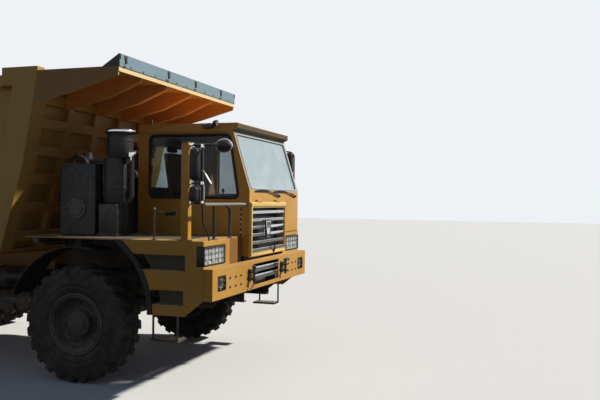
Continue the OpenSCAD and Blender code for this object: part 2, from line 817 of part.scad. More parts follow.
module fuel_tank() color("dimgray") {
    translate([nose - 2900 - fuel_l, 460, 0])
        rotate([90, 0, 90])
            linear_extrude(fuel_l)
                polygon(rounded([[0, 620], [620, 620], [620, 1240], [0, 1240]], 110));
    for (d = [3050, 2900 + fuel_l - 200])
        slab([d, d + 70], [rail_y, 470], [rail_z + 20, rail_top]);
}

module air_tanks() color("dimgray") {
    for (z = [760, 1080])
        long_bar([2950, 3900], -640, z, 140);
    for (d = [3100, 3650])
        slab([d, d + 60], [-520, -rail_y], [rail_z - 100, rail_top]);
}

// Leaf springs: tapering stacks under the rails
module leaf_stack(d, y, z, half_l, count) {
    for (i = [0:count - 1]) {
        reach = half_l * (1 - 0.75 * i / count);
        slab([d - reach, d + reach], [y - 45, y + 45], [z + i * 20, z + i * 20 + 20]);
    }
}

module springs() color("black") {
    both_sides() {
        // Front springs hang below the rails
        leaf_stack(front_axle_d, rail_y - 40, axle_z + 75, 560, 5);
        for (s = [-1, 1])
            slab([front_axle_d + s * 520 - 30, front_axle_d + s * 520 + 30],
                 [rail_y - 85, rail_y + 5], [axle_z + 95, rail_z]);
        // Rear springs rest on both axles, clamped at the trunnion
        leaf_stack(trunnion_d, rail_y + 105, axle_z + spring_seat_h, 830, 7);
    }
}

// Front axle beam with its kingpins
module front_axle() color("dimgray") {
    slab([front_axle_d - 50, front_axle_d + 50], [-kingpin_y + 50, kingpin_y - 50],
         [axle_z - 55, axle_z + 55]);
    both_sides() {
        upright(front_axle_d, kingpin_y, [axle_z - 55, axle_z + 55], 58);
        upright(front_axle_d, kingpin_y, [axle_z - 135, axle_z + 135], kingpin_r);
        slab([front_axle_d - 60, front_axle_d + 60], [rail_y - 90, rail_y + 10],
             [axle_z + 55, axle_z + 75]);
    }
}

// Steering knuckle on the left side, with its arm
module knuckle() {
    difference() {
        union() {
            for (z = [axle_z - 130, axle_z + 65])
                upright(front_axle_d, kingpin_y, [z, z + 65], 78);
            slab([front_axle_d - 78, front_axle_d + 78], [kingpin_y + 66, kingpin_y + 96],
                 [axle_z - 130, axle_z + 130]);
            for (z = [axle_z - 130, axle_z + 65])
                slab([front_axle_d - 78, front_axle_d + 78], [kingpin_y, kingpin_y + 70],
                     [z, z + 65]);
            cross_bar(front_axle_d, axle_z, [kingpin_y + 90, front_wheel_y + 90], spindle_r);
            // Steering arm behind the axle
            slab([front_axle_d, front_axle_d + 300], [kingpin_y - 60, kingpin_y - 10],
                 [arm_top_z - 30, arm_top_z]);
        }
        upright(front_axle_d, kingpin_y, [axle_z - 140, axle_z + 140], kingpin_r + pin_gap);
    }
}

module knuckle_left() color("dimgray") knuckle();
module knuckle_right() color("dimgray") mirror([0, 1, 0]) knuckle();

module tie_rod() color("dimgray") {
    cross_bar(front_axle_d + 260, arm_top_z + soft_gap + tie_rod_r,
              [-kingpin_y + 10, kingpin_y - 10], tie_rod_r);
}

module rear_axles() color("dimgray") {
    hub_end = twin_inner_y + twin_gap;
    for (d = rear_axle_ds) {
        cross_bar(d, axle_z, [-700, 700], 95);
        cross_bar(d, axle_z, [-hub_end, hub_end], spindle_r);
        translate([nose - d, 0, axle_z]) sphere(r = diff_r, $fn = 48);
        long_bar([d - diff_nose, d + diff_nose], 0, axle_z + 20, 80);
        // Spring seats
        both_sides()
            slab([d - 70, d + 70], [rail_y + 50, rail_y + 160],
                 [axle_z, axle_z + spring_seat_h]);
        // Brake drums
        both_sides() cross_bar(d, axle_z, [700, twin_inner_y - 130], 205);
    }
}

// Square yoke at the end of a shaft
module yoke(d, z) {
    slab([d, d + 70], [-55, 55], [z - 55, z + 55]);
}

module drive_shafts() color("dimgray") {
    first = rear_axle_ds[0] - diff_nose;
    yoke(gearbox_end_d, 1000);
    yoke(first - 70, axle_z + 20);
    strut([gearbox_end_d + 40, 0, 1000], [first - 40, 0, axle_z + 20], 50);
    long_bar([rear_axle_ds[0] + diff_nose, rear_axle_ds[1] - diff_nose], 0, axle_z + 20, 50);
}

// Hoist cylinders lie between the rails, from the lower pin to the bed
function hoist_dir() = unit([hoist_top_d - hoist_low_d, hoist_top_z - hoist_low_z]);
function hoist_len() = norm([hoist_top_d - hoist_low_d, hoist_top_z - hoist_low_z]);
function hoist_at(s) = [hoist_low_d + hoist_dir()[0] * s, hoist_low_z + hoist_dir()[1] * s];

module along_hoist(from, to, y, r) {
    a = hoist_at(from);
    b = hoist_at(to);
    strut([a[0], y, a[1]], [b[0], y, b[1]], r);
}

module hoist_barrels() color("dimgray") {
    cross_bar(hoist_low_d, hoist_low_z, [-(rail_y - rail_w - 1), rail_y - rail_w - 1],
              hoist_pin_r);
    for (y = [-hoist_y, hoist_y]) {
        cross_bar(hoist_low_d, hoist_low_z, [y - 50, y + 50], 75);
        difference() {
            along_hoist(60, hoist_len() - 230, y, barrel_r);
            along_hoist(400, hoist_len() - 200, y, rod_r + pin_gap);
        }
    }
}

module hoist_rods() color("silver") {
    for (y = [-hoist_y, hoist_y]) {
        difference() {
            union() {
                along_hoist(420, hoist_len() - 60, y, rod_r);
                cross_bar(hoist_top_d, hoist_top_z, [y - hoist_eye_half, y + hoist_eye_half], 75);
            }
            cross_bar(hoist_top_d, hoist_top_z, [y - hoist_eye_half - 1, y + hoist_eye_half + 1],
                      42);
        }
    }
}

// Height of the floor's underside at a distance behind the nose
function floor_under(d) = floor_z + max(0, d - tail_rise_d)
    * (tail_floor_z - floor_z) / (truck_l - tail_rise_d);

// The same, a little below the plate, for what hangs under it
function under(d) = floor_under(d) - soft_gap;

// Bed: floor plate, level and then rising to the tail, on cross ribs
module bed_floor() color("gold") {
    profile([[FRONT_WALL[0][0], floor_z], [FRONT_WALL[0][0], floor_z + bed_t],
             [tail_rise_d, floor_z + bed_t], [truck_l, tail_floor_z + bed_t],
             [truck_l, tail_floor_z], [tail_rise_d, floor_z]],
            [-load_half_w, load_half_w]);
    for (d = [3100, 3600, 4100, 4600, 5100, 5600, 6450, 6900])
        slab([d, d + 90], [-load_half_w, load_half_w], [floor_z - floor_rib_h, floor_z]);
}

// Long beams under the cross ribs, the lugs on the bed's shaft and the hoist's lugs
module bed_beams() color("gold") {
    rib_z = floor_z - floor_rib_h;
    rest_z = rail_top + free_gap;
    both_sides() {
        profile([[2950, rest_z], [2950, rib_z], [tail_rise_d - 50, rib_z],
                 [tail_rise_d - 50, floor_z - soft_gap], [tail_rise_d, floor_z - soft_gap],
                 [8000, under(8000)], [8000, floor_z + 20], [pivot_d - 100, pivot_z + 100],
                 [pivot_d - 200, rest_z]],
                [rail_y - rail_w, rail_y - rail_w + 60]);
        difference() {
            union() {
                profile([[pivot_d - 95, pivot_z], [pivot_d - 200, under(pivot_d - 200)],
                         [pivot_d + 160, under(pivot_d + 160)], [pivot_d + 90, pivot_z]],
                        bed_lug_y);
                cross_bar(pivot_d, pivot_z, bed_lug_y, 95);
            }
            cross_bar(pivot_d, pivot_z, [bed_lug_y[0] - 1, bed_lug_y[1] + 1],
                      pivot_r + pin_gap);
        }
    }
    for (y = [-hoist_y, hoist_y], s = [-1, 1])
        translate([0, y + s * (hoist_eye_half + free_gap + 12), 0])
            profile([[hoist_top_d - 150, floor_z], [hoist_top_d - 60, hoist_top_z - 60],
                     [hoist_top_d + 60, hoist_top_z - 60], [hoist_top_d + 150, floor_z]],
                    [-12, 12]);
}

// Outline of the bed's side plate
function side_outline() = [
    FRONT_WALL[0], FRONT_WALL[1], FRONT_WALL[2], FRONT_WALL[3], [FRONT_WALL[3][0], bed_top_z],
    [2780, bed_top_z], [2800, side_top_z], [7800, side_top_z], [8300, 3300],
    [truck_l, tail_floor_z + 60], [truck_l, tail_floor_z], [tail_rise_d, floor_z]
];

module bed_side() {
    w = [load_half_w, bed_half_w];
    profile(side_outline(), [load_half_w, load_half_w + bed_t]);
    // Top rail, with its raised front part
    slab([2800, 7800], w, [side_top_z - 150, side_top_z]);
    slab([FRONT_WALL[3][0], 2800], w, [bed_top_z - 70, bed_top_z]);
    slab([FRONT_WALL[3][0] + 60, 2800], w, [bed_top_z - 220, bed_top_z - 60]);
    // Bottom rail
    slab([2800, tail_rise_d], w, [floor_z, floor_z + 120]);
    // Front post follows the front wall
    profile([FRONT_WALL[0], FRONT_WALL[1], FRONT_WALL[2], FRONT_WALL[3],
             [2620, canopy_z], [2820, 2540], [3000, floor_z]], w);
    // Upright ribs
    for (d = [3500:620:7250])
        slab([d, d + 110], w, [floor_z + 100, side_top_z - 100]);
    profile([[7700, side_top_z], [7800, side_top_z], [8300, 3300], [truck_l, tail_floor_z + 60],
             [truck_l - 110, tail_floor_z + 60], [8200, 3240]], w);
}

module bed_side_left() color("gold") bed_side();
module bed_side_right() color("gold") mirror([0, 1, 0]) bed_side();

// Front wall: a plate behind a grid of ribs
function wall_shift(back) = [for (p = FRONT_WALL) [p[0] + back, p[1]]];
function reversed(v) = [for (i = [len(v) - 1:-1:0]) v[i]];

// Level ribs of the front wall: lower edges
WALL_RIBS = [1620, 1980, 2330, 2670, 3000, 3290];
// Upright ribs of the front wall across the truck
WALL_POSTS = [-1450, -870, -290, 290, 870, 1450];

module bed_front_wall() color("gold") {
    y = [-load_half_w, load_half_w];
    low = floor_z + bed_t;
    difference() {
        union() {
            profile(concat(wall_shift(front_frame_t), reversed(wall_shift(front_frame_t + bed_t))),
                    y);
            intersection() {
                profile(concat(FRONT_WALL, reversed(wall_shift(front_frame_t + 1))), y);
                union() {
                    for (z = WALL_RIBS) slab([2200, 3000], y, [z, z + 120]);
                    for (c = WALL_POSTS) slab([2200, 3000], [c - 50, c + 50], [floor_z, canopy_z]);
                }
            }
        }
        slab([2000, 3000], [-load_half_w - 1, load_half_w + 1], [floor_z - 1, low]);
    }
}

module bed_canopy() color("gold") {
    wall_top_d = FRONT_WALL[3][0];
    slab([canopy_d, wall_top_d], [-bed_half_w, bed_half_w], [canopy_z, canopy_z + bed_t]);
    slab([wall_top_d, wall_top_d + front_frame_t + bed_t], [-load_half_w, load_half_w],
         [canopy_z, canopy_z + bed_t]);
    // Gussets at the sides and ribs between them
    inside_z = canopy_z + bed_t / 2;
    edge = concat([[canopy_d, inside_z]], CANOPY_EDGE,
                  [FRONT_WALL[2], FRONT_WALL[3], [wall_top_d, inside_z]]);
    both_sides() profile(edge, [bed_half_w - bed_t, bed_half_w]);
    rib = [[canopy_d + 60, inside_z], [canopy_d + 100, canopy_z - 60], CANOPY_EDGE[1],
           CANOPY_EDGE[2], FRONT_WALL[2], FRONT_WALL[3], [wall_top_d, inside_z]];
    for (y = CANOPY_RIBS)
        profile(rib, [y - 40, y + 40]);
    // Turned-down lip at the front
    slab([canopy_d, canopy_d + 16], [-bed_half_w, bed_half_w], [canopy_z - 45, inside_z]);
}

module canopy_strip() color("lightslategray") {
    z = canopy_z + bed_t;
    slab([canopy_d - 10, canopy_d], [-bed_half_w, bed_half_w], [z - 8, z + strip_h]);
    both_sides()
        profile([[canopy_d, z], [canopy_d, z + strip_h], [canopy_d + 220, z]],
                [bed_half_w - 16, bed_half_w]);
}

// Tyre around the axis of its wheel, centred on its width
module tyre_ring() {
    w = tyre_w / 2;
    tread_r = tyre_r - lug_h;
    rotate_extrude($fn = 96)
        polygon([
            [rim_r + 14, -w + 60], [rim_r + 90, -w + 12], [rim_r + 230, -w],
            [tread_r - 28, -w + 8], [tread_r, -w + 36], [tread_r, w - 36],
            [tread_r - 28, w - 8], [rim_r + 230, w], [rim_r + 90, w - 12], [rim_r + 14, w - 60]
        ]);
    tread_lugs();
}

// Slanted lugs in two rows, half a pitch apart, cut to the tyre's round
module tread_lugs() {
    l = tyre_w / 2 - 32;
    intersection() {
        cylinder(h = tyre_w, r = tyre_r, center = true, $fn = 96);
        for (row = [[-1, 0.5], [1, 0]], i = [0:lugs - 1])
            rotate([0, 0, (i + row[1]) * 360 / lugs])
                translate([tyre_r - lug_h - 24, 0, row[0] * (l / 2 + 18)])
                    rotate([row[0] * lug_slant, 0, 0])
                        translate([0, -lug_w / 2, -l / 2])
                            cube([lug_h + 30, lug_w, l]);
    }
}

// Turns a wheel's axis from Z to Y, at [distance, y]
module at_wheel(d, y) {
    translate([nose - d, y, axle_z]) rotate([-90, 0, 0]) children();
}

// Rim barrel with its flanges, and a disc at the height disc
module rim_ring(disc) {
    w = tyre_w / 2 - 62;
    r = rim_r + 13.7;
    rotate_extrude($fn = 96)
        polygon([[r - 35, -w], [r, -w], [r, w], [r - 35, w]]);
    rotate_extrude($fn = 96)
        polygon([[hub_r - 10, disc - 12], [r - 30, disc - 12], [r - 30, disc + 12],
                 [hub_r - 10, disc + 12]]);
}

// Hub with its bore on the spindle
module hub(from, to) {
    difference() {
        translate([0, 0, from]) cylinder(h = to - from, r = hub_r);
        translate([0, 0, from - 1]) cylinder(h = to - from - 30, r = spindle_r + pin_gap);
    }
}

module front_tyre() at_wheel(front_axle_d, front_wheel_y) tyre_ring();
module front_rim() at_wheel(front_axle_d, front_wheel_y) {
    rim_ring(20);
    hub(-110, 130);
}
module twin_tyres(d)
    for (y = [twin_inner_y, twin_inner_y + twin_gap]) at_wheel(d, y) tyre_ring();
module twin_rims(d) {
    for (s = [[twin_inner_y, 100], [twin_inner_y + twin_gap, -100]])
        at_wheel(d, s[0]) rim_ring(s[1]);
    at_wheel(d, twin_inner_y) hub(-120, twin_gap + 40);
    // Spacer between the twin discs
    at_wheel(d, twin_inner_y)
        difference() {
            translate([0, 0, 100]) cylinder(h = twin_gap - 200, r = hub_r + 40);
            translate([0, 0, 99]) cylinder(h = twin_gap - 198, r = hub_r - 5);
        }
}

module tyre_front_left() color("black") front_tyre();
module tyre_front_right() color("black") mirror([0, 1, 0]) front_tyre();
module rim_front_left() color("gold") front_rim();
module rim_front_right() color("gold") mirror([0, 1, 0]) front_rim();
module tyres_mid_left() color("black") twin_tyres(rear_axle_ds[0]);
module tyres_mid_right() color("black") mirror([0, 1, 0]) twin_tyres(rear_axle_ds[0]);
module rims_mid_left() color("gold") twin_rims(rear_axle_ds[0]);
module rims_mid_right() color("gold") mirror([0, 1, 0]) twin_rims(rear_axle_ds[0]);
module tyres_rear_left() color("black") twin_tyres(rear_axle_ds[1]);
module tyres_rear_right() color("black") mirror([0, 1, 0]) twin_tyres(rear_axle_ds[1]);
module rims_rear_left() color("gold") twin_rims(rear_axle_ds[1]);
module rims_rear_right() color("gold") mirror([0, 1, 0]) twin_rims(rear_axle_ds[1]);

frame_rails();
bumper();
bumper_fittings();
front_lamps();
fender_right();
fender_left();
arch_guards();
side_steps();
handrails();
mirrors();
cab_shell();
cab_glass();
wipers();
roof_lamps();
seats();
dashboard();
steering_wheel();
front_flap();
grille_bars();
door_left();
door_glass();
engine();
radiator();
air_cleaner();
silencer();
hydraulic_tank();
fuel_tank();
air_tanks();
springs();
front_axle();
knuckle_left();
knuckle_right();
tie_rod();
rear_axles();
drive_shafts();
hoist_barrels();
hoist_rods();
bed_floor();
bed_beams();
bed_side_left();
bed_side_right();
bed_front_wall();
bed_canopy();
canopy_strip();
tyre_front_left();
tyre_front_right();
rim_front_left();
rim_front_right();
tyres_mid_left();
tyres_mid_right();
rims_mid_left();
rims_mid_right();
tyres_rear_left();
tyres_rear_right();
rims_rear_left();
rims_rear_right();
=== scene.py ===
# %% [markdown]
# # A mining dump truck, dressed in Blender
# The truck's solids come from a CAD program and stay where they are. This lesson gives them their
# finishes, and models what the solids leave out: tyre tread, rims, rounded sheet metal, lamps,
# glass seals, mirrors, hoses, bolts and seats. Lengths are metres, X points forward, Y to the
# truck's left and Z up.

# %% Load the solids
import json
import math
import bpy
from mathutils import Matrix, Vector

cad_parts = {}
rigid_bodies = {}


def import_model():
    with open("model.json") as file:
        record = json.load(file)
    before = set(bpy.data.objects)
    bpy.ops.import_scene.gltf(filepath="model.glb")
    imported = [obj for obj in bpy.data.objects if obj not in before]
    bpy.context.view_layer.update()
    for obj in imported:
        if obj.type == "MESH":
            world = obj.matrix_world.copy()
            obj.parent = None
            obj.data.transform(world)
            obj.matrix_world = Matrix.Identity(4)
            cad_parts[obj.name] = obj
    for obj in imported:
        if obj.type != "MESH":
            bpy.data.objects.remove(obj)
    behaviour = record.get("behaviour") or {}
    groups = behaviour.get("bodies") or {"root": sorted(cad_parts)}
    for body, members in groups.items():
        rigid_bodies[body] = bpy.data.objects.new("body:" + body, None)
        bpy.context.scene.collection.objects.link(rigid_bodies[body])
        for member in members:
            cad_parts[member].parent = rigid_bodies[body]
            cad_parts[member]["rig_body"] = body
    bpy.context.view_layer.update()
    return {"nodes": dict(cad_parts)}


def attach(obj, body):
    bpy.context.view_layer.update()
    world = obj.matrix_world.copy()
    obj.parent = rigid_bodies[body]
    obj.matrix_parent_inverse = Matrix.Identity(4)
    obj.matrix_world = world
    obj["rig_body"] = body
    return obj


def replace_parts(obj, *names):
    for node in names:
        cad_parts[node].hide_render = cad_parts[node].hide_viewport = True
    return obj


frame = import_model()
NODES = frame["nodes"]
ops = bpy.ops

# %% [markdown]
# Every length along the truck was measured from the face of the bumper, so two short helpers turn
# such a distance into X, or into a place.

# %% Places along the truck
NOSE_X = 4.18
AXLE_Z = 0.685
DECK_Z = 1.700
FRONT_AXLE, MID_AXLE, REAR_AXLE = 1.776, 5.426, 6.926
SIDES = (("right", -1), ("left", 1))


def behind(distance):
    return NOSE_X - distance


def at(distance, y, z):
    return (behind(distance), y, z)


def new_object(name, data):
    made = bpy.data.objects.new(name, data)
    bpy.context.scene.collection.objects.link(made)
    return made


print("axles at", [round(behind(d), 3) for d in (FRONT_AXLE, MID_AXLE, REAR_AXLE)])

# %% [markdown]
# The camera stands off the truck's right front corner, at eye level on a slight rise. Its place
# and turn were solved from the edges of the bumper, the deck, the wheels and the canopy.

# %% Camera
PHOTO_WIDTH, FOCAL, SENSOR = 600, 713.8, 36
CAMERA_AT = (7.439, -8.674, 2.170)
YAW, PITCH, ROLL = (math.radians(a) for a in (17.97, -0.06, 0.62))
camera = new_object("camera", bpy.data.cameras.new("camera"))
camera.data.sensor_width = SENSOR
camera.data.lens = FOCAL * SENSOR / PHOTO_WIDTH
look = Vector((-math.sin(YAW) * math.cos(PITCH), math.cos(YAW) * math.cos(PITCH), math.sin(PITCH)))
level = Vector((math.cos(YAW), math.sin(YAW), 0))
upward = level.cross(look)
right = math.cos(ROLL) * level + math.sin(ROLL) * upward
top = math.cos(ROLL) * upward - math.sin(ROLL) * level
camera.matrix_world = Matrix.Translation(CAMERA_AT) @ Matrix(
    (right, top, -look)).transposed().to_4x4()
bpy.context.scene.camera = camera
print("lens", round(camera.data.lens, 2), "mm")

# %% [markdown]
# ## Node trees
# The floor, the world and every finish are small node trees. All patterns read Object coordinates:
# every object here has its origin at the truck's origin, so a pattern is in metres and runs on
# from piece to piece. Short helpers keep the trees readable.

# %% Node helpers
def finish(name, roughness=0.5, metallic=0.0, shine=0.5):
    m = bpy.data.materials.new(name)
    m.use_nodes = True
    shader = m.node_tree.nodes["Principled BSDF"]
    shader.inputs["Roughness"].default_value = roughness
    shader.inputs["Metallic"].default_value = metallic
    shader.inputs["Specular IOR Level"].default_value = shine
    return m, m.node_tree, shader


def object_place(tree):
    return tree.nodes.new("ShaderNodeTexCoord").outputs["Object"]


def pattern(tree, scale, detail=4.0, stretch=(1, 1, 1)):
    scaled = tree.nodes.new("ShaderNodeMapping")
    scaled.inputs["Scale"].default_value = stretch
    grain = tree.nodes.new("ShaderNodeTexNoise")
    grain.inputs["Scale"].default_value = scale
    grain.inputs["Detail"].default_value = detail
    tree.links.new(object_place(tree), scaled.inputs["Vector"])
    tree.links.new(scaled.outputs[0], grain.inputs["Vector"])
    return grain.outputs["Fac"]


def waves(tree, axis, scale, distortion=0.0):
    wave = tree.nodes.new("ShaderNodeTexWave")
    wave.bands_direction = axis
    wave.inputs["Scale"].default_value = scale
    wave.inputs["Distortion"].default_value = distortion
    tree.links.new(object_place(tree), wave.inputs["Vector"])
    return wave.outputs["Fac"]


def squeeze(tree, value, low, high, to_low=0.0, to_high=1.0):
    node = tree.nodes.new("ShaderNodeMapRange")
    node.inputs["From Min"].default_value = low
    node.inputs["From Max"].default_value = high
    node.inputs["To Min"].default_value = to_low
    node.inputs["To Max"].default_value = to_high
    tree.links.new(value, node.inputs["Value"])
    return node.outputs[0]


def sums(tree, kind, a, b):
    node = tree.nodes.new("ShaderNodeMath")
    node.operation = kind
    for socket, value in zip(node.inputs, (a, b)):
        if isinstance(value, (int, float)):
            socket.default_value = value
        else:
            tree.links.new(value, socket)
    return node.outputs[0]


def blend_colour(tree, factor, first, second):
    node = tree.nodes.new("ShaderNodeMix")
    node.data_type = "RGBA"
    tree.links.new(factor, node.inputs["Factor"])
    for socket, value in ((node.inputs[6], first), (node.inputs[7], second)):
        if isinstance(value, tuple):
            socket.default_value = (*value, 1)
        else:
            tree.links.new(value, socket)
    return node.outputs[2]


def mixed_surface(tree, factor, first, second):
    node = tree.nodes.new("ShaderNodeMixShader")
    for socket, value in zip(node.inputs, (factor, first, second)):
        tree.links.new(value, socket)
    tree.links.new(node.outputs[0], tree.nodes["Material Output"].inputs["Surface"])


def bumps(tree, shader, height, depth):
    node = tree.nodes.new("ShaderNodeBump")
    node.inputs["Strength"].default_value = 1.0
    node.inputs["Distance"].default_value = depth
    tree.links.new(height, node.inputs["Height"])
    tree.links.new(node.outputs[0], shader.inputs["Normal"])


def upward_part(tree, vector):
    split = tree.nodes.new("ShaderNodeSeparateXYZ")
    tree.links.new(vector, split.inputs[0])
    return split.outputs["Z"]


def height_above_ground(tree):
    return upward_part(tree, object_place(tree))


def upward_faces(tree):
    shape = tree.nodes.new("ShaderNodeNewGeometry")
    return squeeze(tree, upward_part(tree, shape.outputs["True Normal"]), 0.5, 0.95)


print("node helpers ready")

# %% [markdown]
# A plain pale floor and a pale world. The camera, reflections and glass see the bright world,
# while the light that falls from it on the truck is lower and bluer, so that the key lamp can
# shape the forms. The Light Path node makes that split. Seen from below the floor is clear.

# %% Floor and world
FLOOR_LIT, FLOOR_SEEN = (0.068, 0.064, 0.058), (0.80, 0.81, 0.82)
WORLD_FILL, WORLD_SEEN = 0.065, 0.92
FILL_HUE, SEEN_HUE = (0.68, 1.0, 1.55), (0.93, 0.965, 1.0)
ops.object.select_all(action="DESELECT")
ops.mesh.primitive_plane_add(size=140, location=(0, 0, 0))
floor = bpy.context.object
floor.name = "floor"
floor.visible_shadow = False
paper, tree, shader = finish("paper_floor", 0.95)
path = tree.nodes.new("ShaderNodeLightPath")
ground = blend_colour(tree, path.outputs["Is Camera Ray"], FLOOR_LIT, FLOOR_SEEN)
tree.links.new(ground, shader.inputs["Base Color"])
mixed_surface(tree, tree.nodes.new("ShaderNodeNewGeometry").outputs["Backfacing"],
              shader.outputs[0], tree.nodes.new("ShaderNodeBsdfTransparent").outputs[0])
floor.data.materials.append(paper)

world = bpy.data.worlds.new("pale_world")
bpy.context.scene.world = world
world.use_nodes = True
tree = world.node_tree
sky = tree.nodes["Background"]
path = tree.nodes.new("ShaderNodeLightPath")
seen = path.outputs["Is Camera Ray"]
for kind in ("Is Glossy Ray", "Is Transmission Ray"):
    seen = sums(tree, "MAXIMUM", seen, path.outputs[kind])
tree.links.new(squeeze(tree, seen, 0, 1, WORLD_FILL, WORLD_SEEN), sky.inputs["Strength"])
tree.links.new(blend_colour(tree, seen, FILL_HUE, SEEN_HUE), sky.inputs["Color"])
bpy.context.scene.view_settings.view_transform = "Standard"
print("world fill", WORLD_FILL)

# %% [markdown]
# The key is one sun from ahead and to the truck's left, high enough for the canopy to shade the
# bed's front wall. The nose is bright and the right side falls into shade. A weak second lamp
# lifts that shade, and a warm one from below stands for the light thrown up at the canopy by the
# deck and the cab's roof.

# %% Lamps
def sun(name, toward, strength, angle, colour):
    lamp = bpy.data.lights.new(name, "SUN")
    lamp.energy, lamp.angle, lamp.color = strength, math.radians(angle), colour
    new_object(name, lamp).rotation_euler = Vector(toward).to_track_quat("-Z", "Y").to_euler()


sun("key", (-0.62, -0.46, -0.63), 4.3, 3, (1.0, 0.95, 0.86))
sun("lift", (0.10, 0.85, -0.50), 0.03, 60, (0.86, 0.93, 1.0))
sun("bounce", (-0.10, 0.05, 1.0), 0.20, 40, (1.0, 0.62, 0.42))
print("lamps set")

# %% [markdown]
# ## Finishes
# Mine paint is sprayed thick over heavy plate. It shows a faint orange peel, slow changes of tone,
# dust that settles on level faces and low down, and small chips down to the dark primer. Dust also
# takes the gloss away, so the same mask drives colour and roughness. Some places get a coat of
# their own that paints light and shade: paler on the flap, part fading and part painted sunlight, a
# pale painted highlight on the canopy's lip, warmer painted bounce light under it, and painted shade
# on its cheeks, the right walkway, the apron beside the nose and, with dust, the fender pockets.

# %% Weathered paint
DUST = (0.40, 0.33, 0.24)
PRIMER = (0.10, 0.075, 0.05)


def weathered_paint(name, colour, gloss=0.34, low=0.55, high=2.3, most=0.55, chip=0.70):
    m, tree, shader = finish(name, gloss, shine=0.28)
    tone = squeeze(tree, pattern(tree, 0.9, 3), 0.3, 0.7)
    deep = tuple(c * 0.86 for c in colour)
    pale = tuple(min(1, c * 1.05) for c in colour)
    paint = blend_colour(tree, tone, deep, pale)
    near_ground = squeeze(tree, height_above_ground(tree), low, high, most, 0.04)
    cloud = squeeze(tree, pattern(tree, 3.5, 8), 0.38, 0.66)
    speck = squeeze(tree, pattern(tree, 45, 3), 0.45, 0.62, 0.45, 1.0)
    dust = sums(tree, "MULTIPLY", sums(tree, "MULTIPLY", near_ground, cloud), speck)
    settled = sums(tree, "MULTIPLY", upward_faces(tree),
                   squeeze(tree, pattern(tree, 6, 6), 0.3, 0.7, 0.18, 0.62))
    dust = sums(tree, "MAXIMUM", dust, settled)
    dusty = blend_colour(tree, dust, paint, DUST)
    chips = squeeze(tree, pattern(tree, 24, 6), chip, chip + 0.02)
    chips = sums(tree, "MULTIPLY", chips,
                 squeeze(tree, height_above_ground(tree), 1.2, 2.6, 1.0, 0.15))
    worn = blend_colour(tree, chips, dusty, PRIMER)
    tree.links.new(worn, shader.inputs["Base Color"])
    tree.links.new(squeeze(tree, dust, 0, 0.6, gloss, 0.85), shader.inputs["Roughness"])
    bumps(tree, shader, pattern(tree, 160, 2), 0.0006)
    return m


YELLOW = (0.66, 0.34, 0.055)
# A paler yellow for the flap, part fading and part painted sunlight.
FADED_SUNLIT = (0.90, 0.63, 0.20)
yellow_paint = weathered_paint("yellow_paint", YELLOW)
# A warmer orange for under the canopy, painted bounce light.
sheltered_paint = weathered_paint("sheltered_paint", (0.84, 0.38, 0.11), gloss=0.38, most=0.2)
# A near-black coat for the right walkway, painted shade.
tread_paint = weathered_paint("tread_paint", (0.050, 0.038, 0.026), gloss=0.6, most=0.3)
# A dark brown for the canopy's cheeks, painted shade.
grimy_paint = weathered_paint("grimy_paint", (0.33, 0.20, 0.070), gloss=0.6)
# A pale cream for the canopy's front lip, a painted highlight.
edge_paint = weathered_paint("edge_paint", (0.97, 0.76, 0.40), gloss=0.30)
# A dark grey for the fender pockets, dust and painted shade.
pocket_paint = weathered_paint("pocket_paint", (0.195, 0.190, 0.130), gloss=0.6)
# A dark brown for the apron beside the nose, painted shade.
primer_paint = weathered_paint("primer_paint", (0.30, 0.135, 0.028), gloss=0.7, most=0.2)
faded_paint = weathered_paint("faded_paint", FADED_SUNLIT, gloss=0.30)
dark_paint = weathered_paint("dark_paint", (0.028, 0.028, 0.030), gloss=0.45, most=0.75, chip=0.74)
grey_paint = weathered_paint("grey_paint", (0.23, 0.345, 0.42), gloss=0.5, chip=0.66)
rim_paint = weathered_paint("rim_paint", (0.060, 0.060, 0.062), gloss=0.5, low=0.2, high=1.9,
                            most=0.6)
print("paints mixed")

# %% [markdown]
# The bed carries rock, so its paint is scoured along the fall of the load, more on the inside and
# at the floor, down to dull steel.

# %% Scoured bed paint
def scoured_paint(name):
    m = weathered_paint(name, (0.53, 0.325, 0.080), gloss=0.4, most=0.35)
    tree = m.node_tree
    shader = tree.nodes["Principled BSDF"]
    painted = shader.inputs["Base Color"].links[0].from_socket
    rubbed = squeeze(tree, pattern(tree, 5, 8, stretch=(0.5, 1, 4)), 0.42, 0.56)
    rubbed = sums(tree, "MULTIPLY", rubbed, upward_faces(tree))
    bare = blend_colour(tree, squeeze(tree, pattern(tree, 30, 6), 0.35, 0.65),
                        (0.16, 0.13, 0.11), (0.34, 0.32, 0.30))
    tree.links.new(blend_colour(tree, rubbed, painted, bare), shader.inputs["Base Color"])
    return m


bed_paint = scoured_paint("bed_paint")
print("bed paint scoured")

# %% [markdown]
# Bare metals: chrome on the grille bars, worn steel on pins and rails, and sandy cast iron on the
# axles, engine and hubs. Brushed or cast grain is bump only, and oil stains darken the castings.

# %% Bare metals
def bare_metal(name, colour, roughness, grain, depth, stain=None, metallic=1.0):
    m, tree, shader = finish(name, roughness, metallic)
    tint = blend_colour(tree, squeeze(tree, pattern(tree, 7, 6), 0.35, 0.7), colour,
                        stain or tuple(c * 0.8 for c in colour))
    tree.links.new(tint, shader.inputs["Base Color"])
    tree.links.new(squeeze(tree, pattern(tree, 18, 5), 0.3, 0.7, roughness * 0.7, roughness * 1.5),
                   shader.inputs["Roughness"])
    bumps(tree, shader, pattern(tree, grain, 3), depth)
    return m


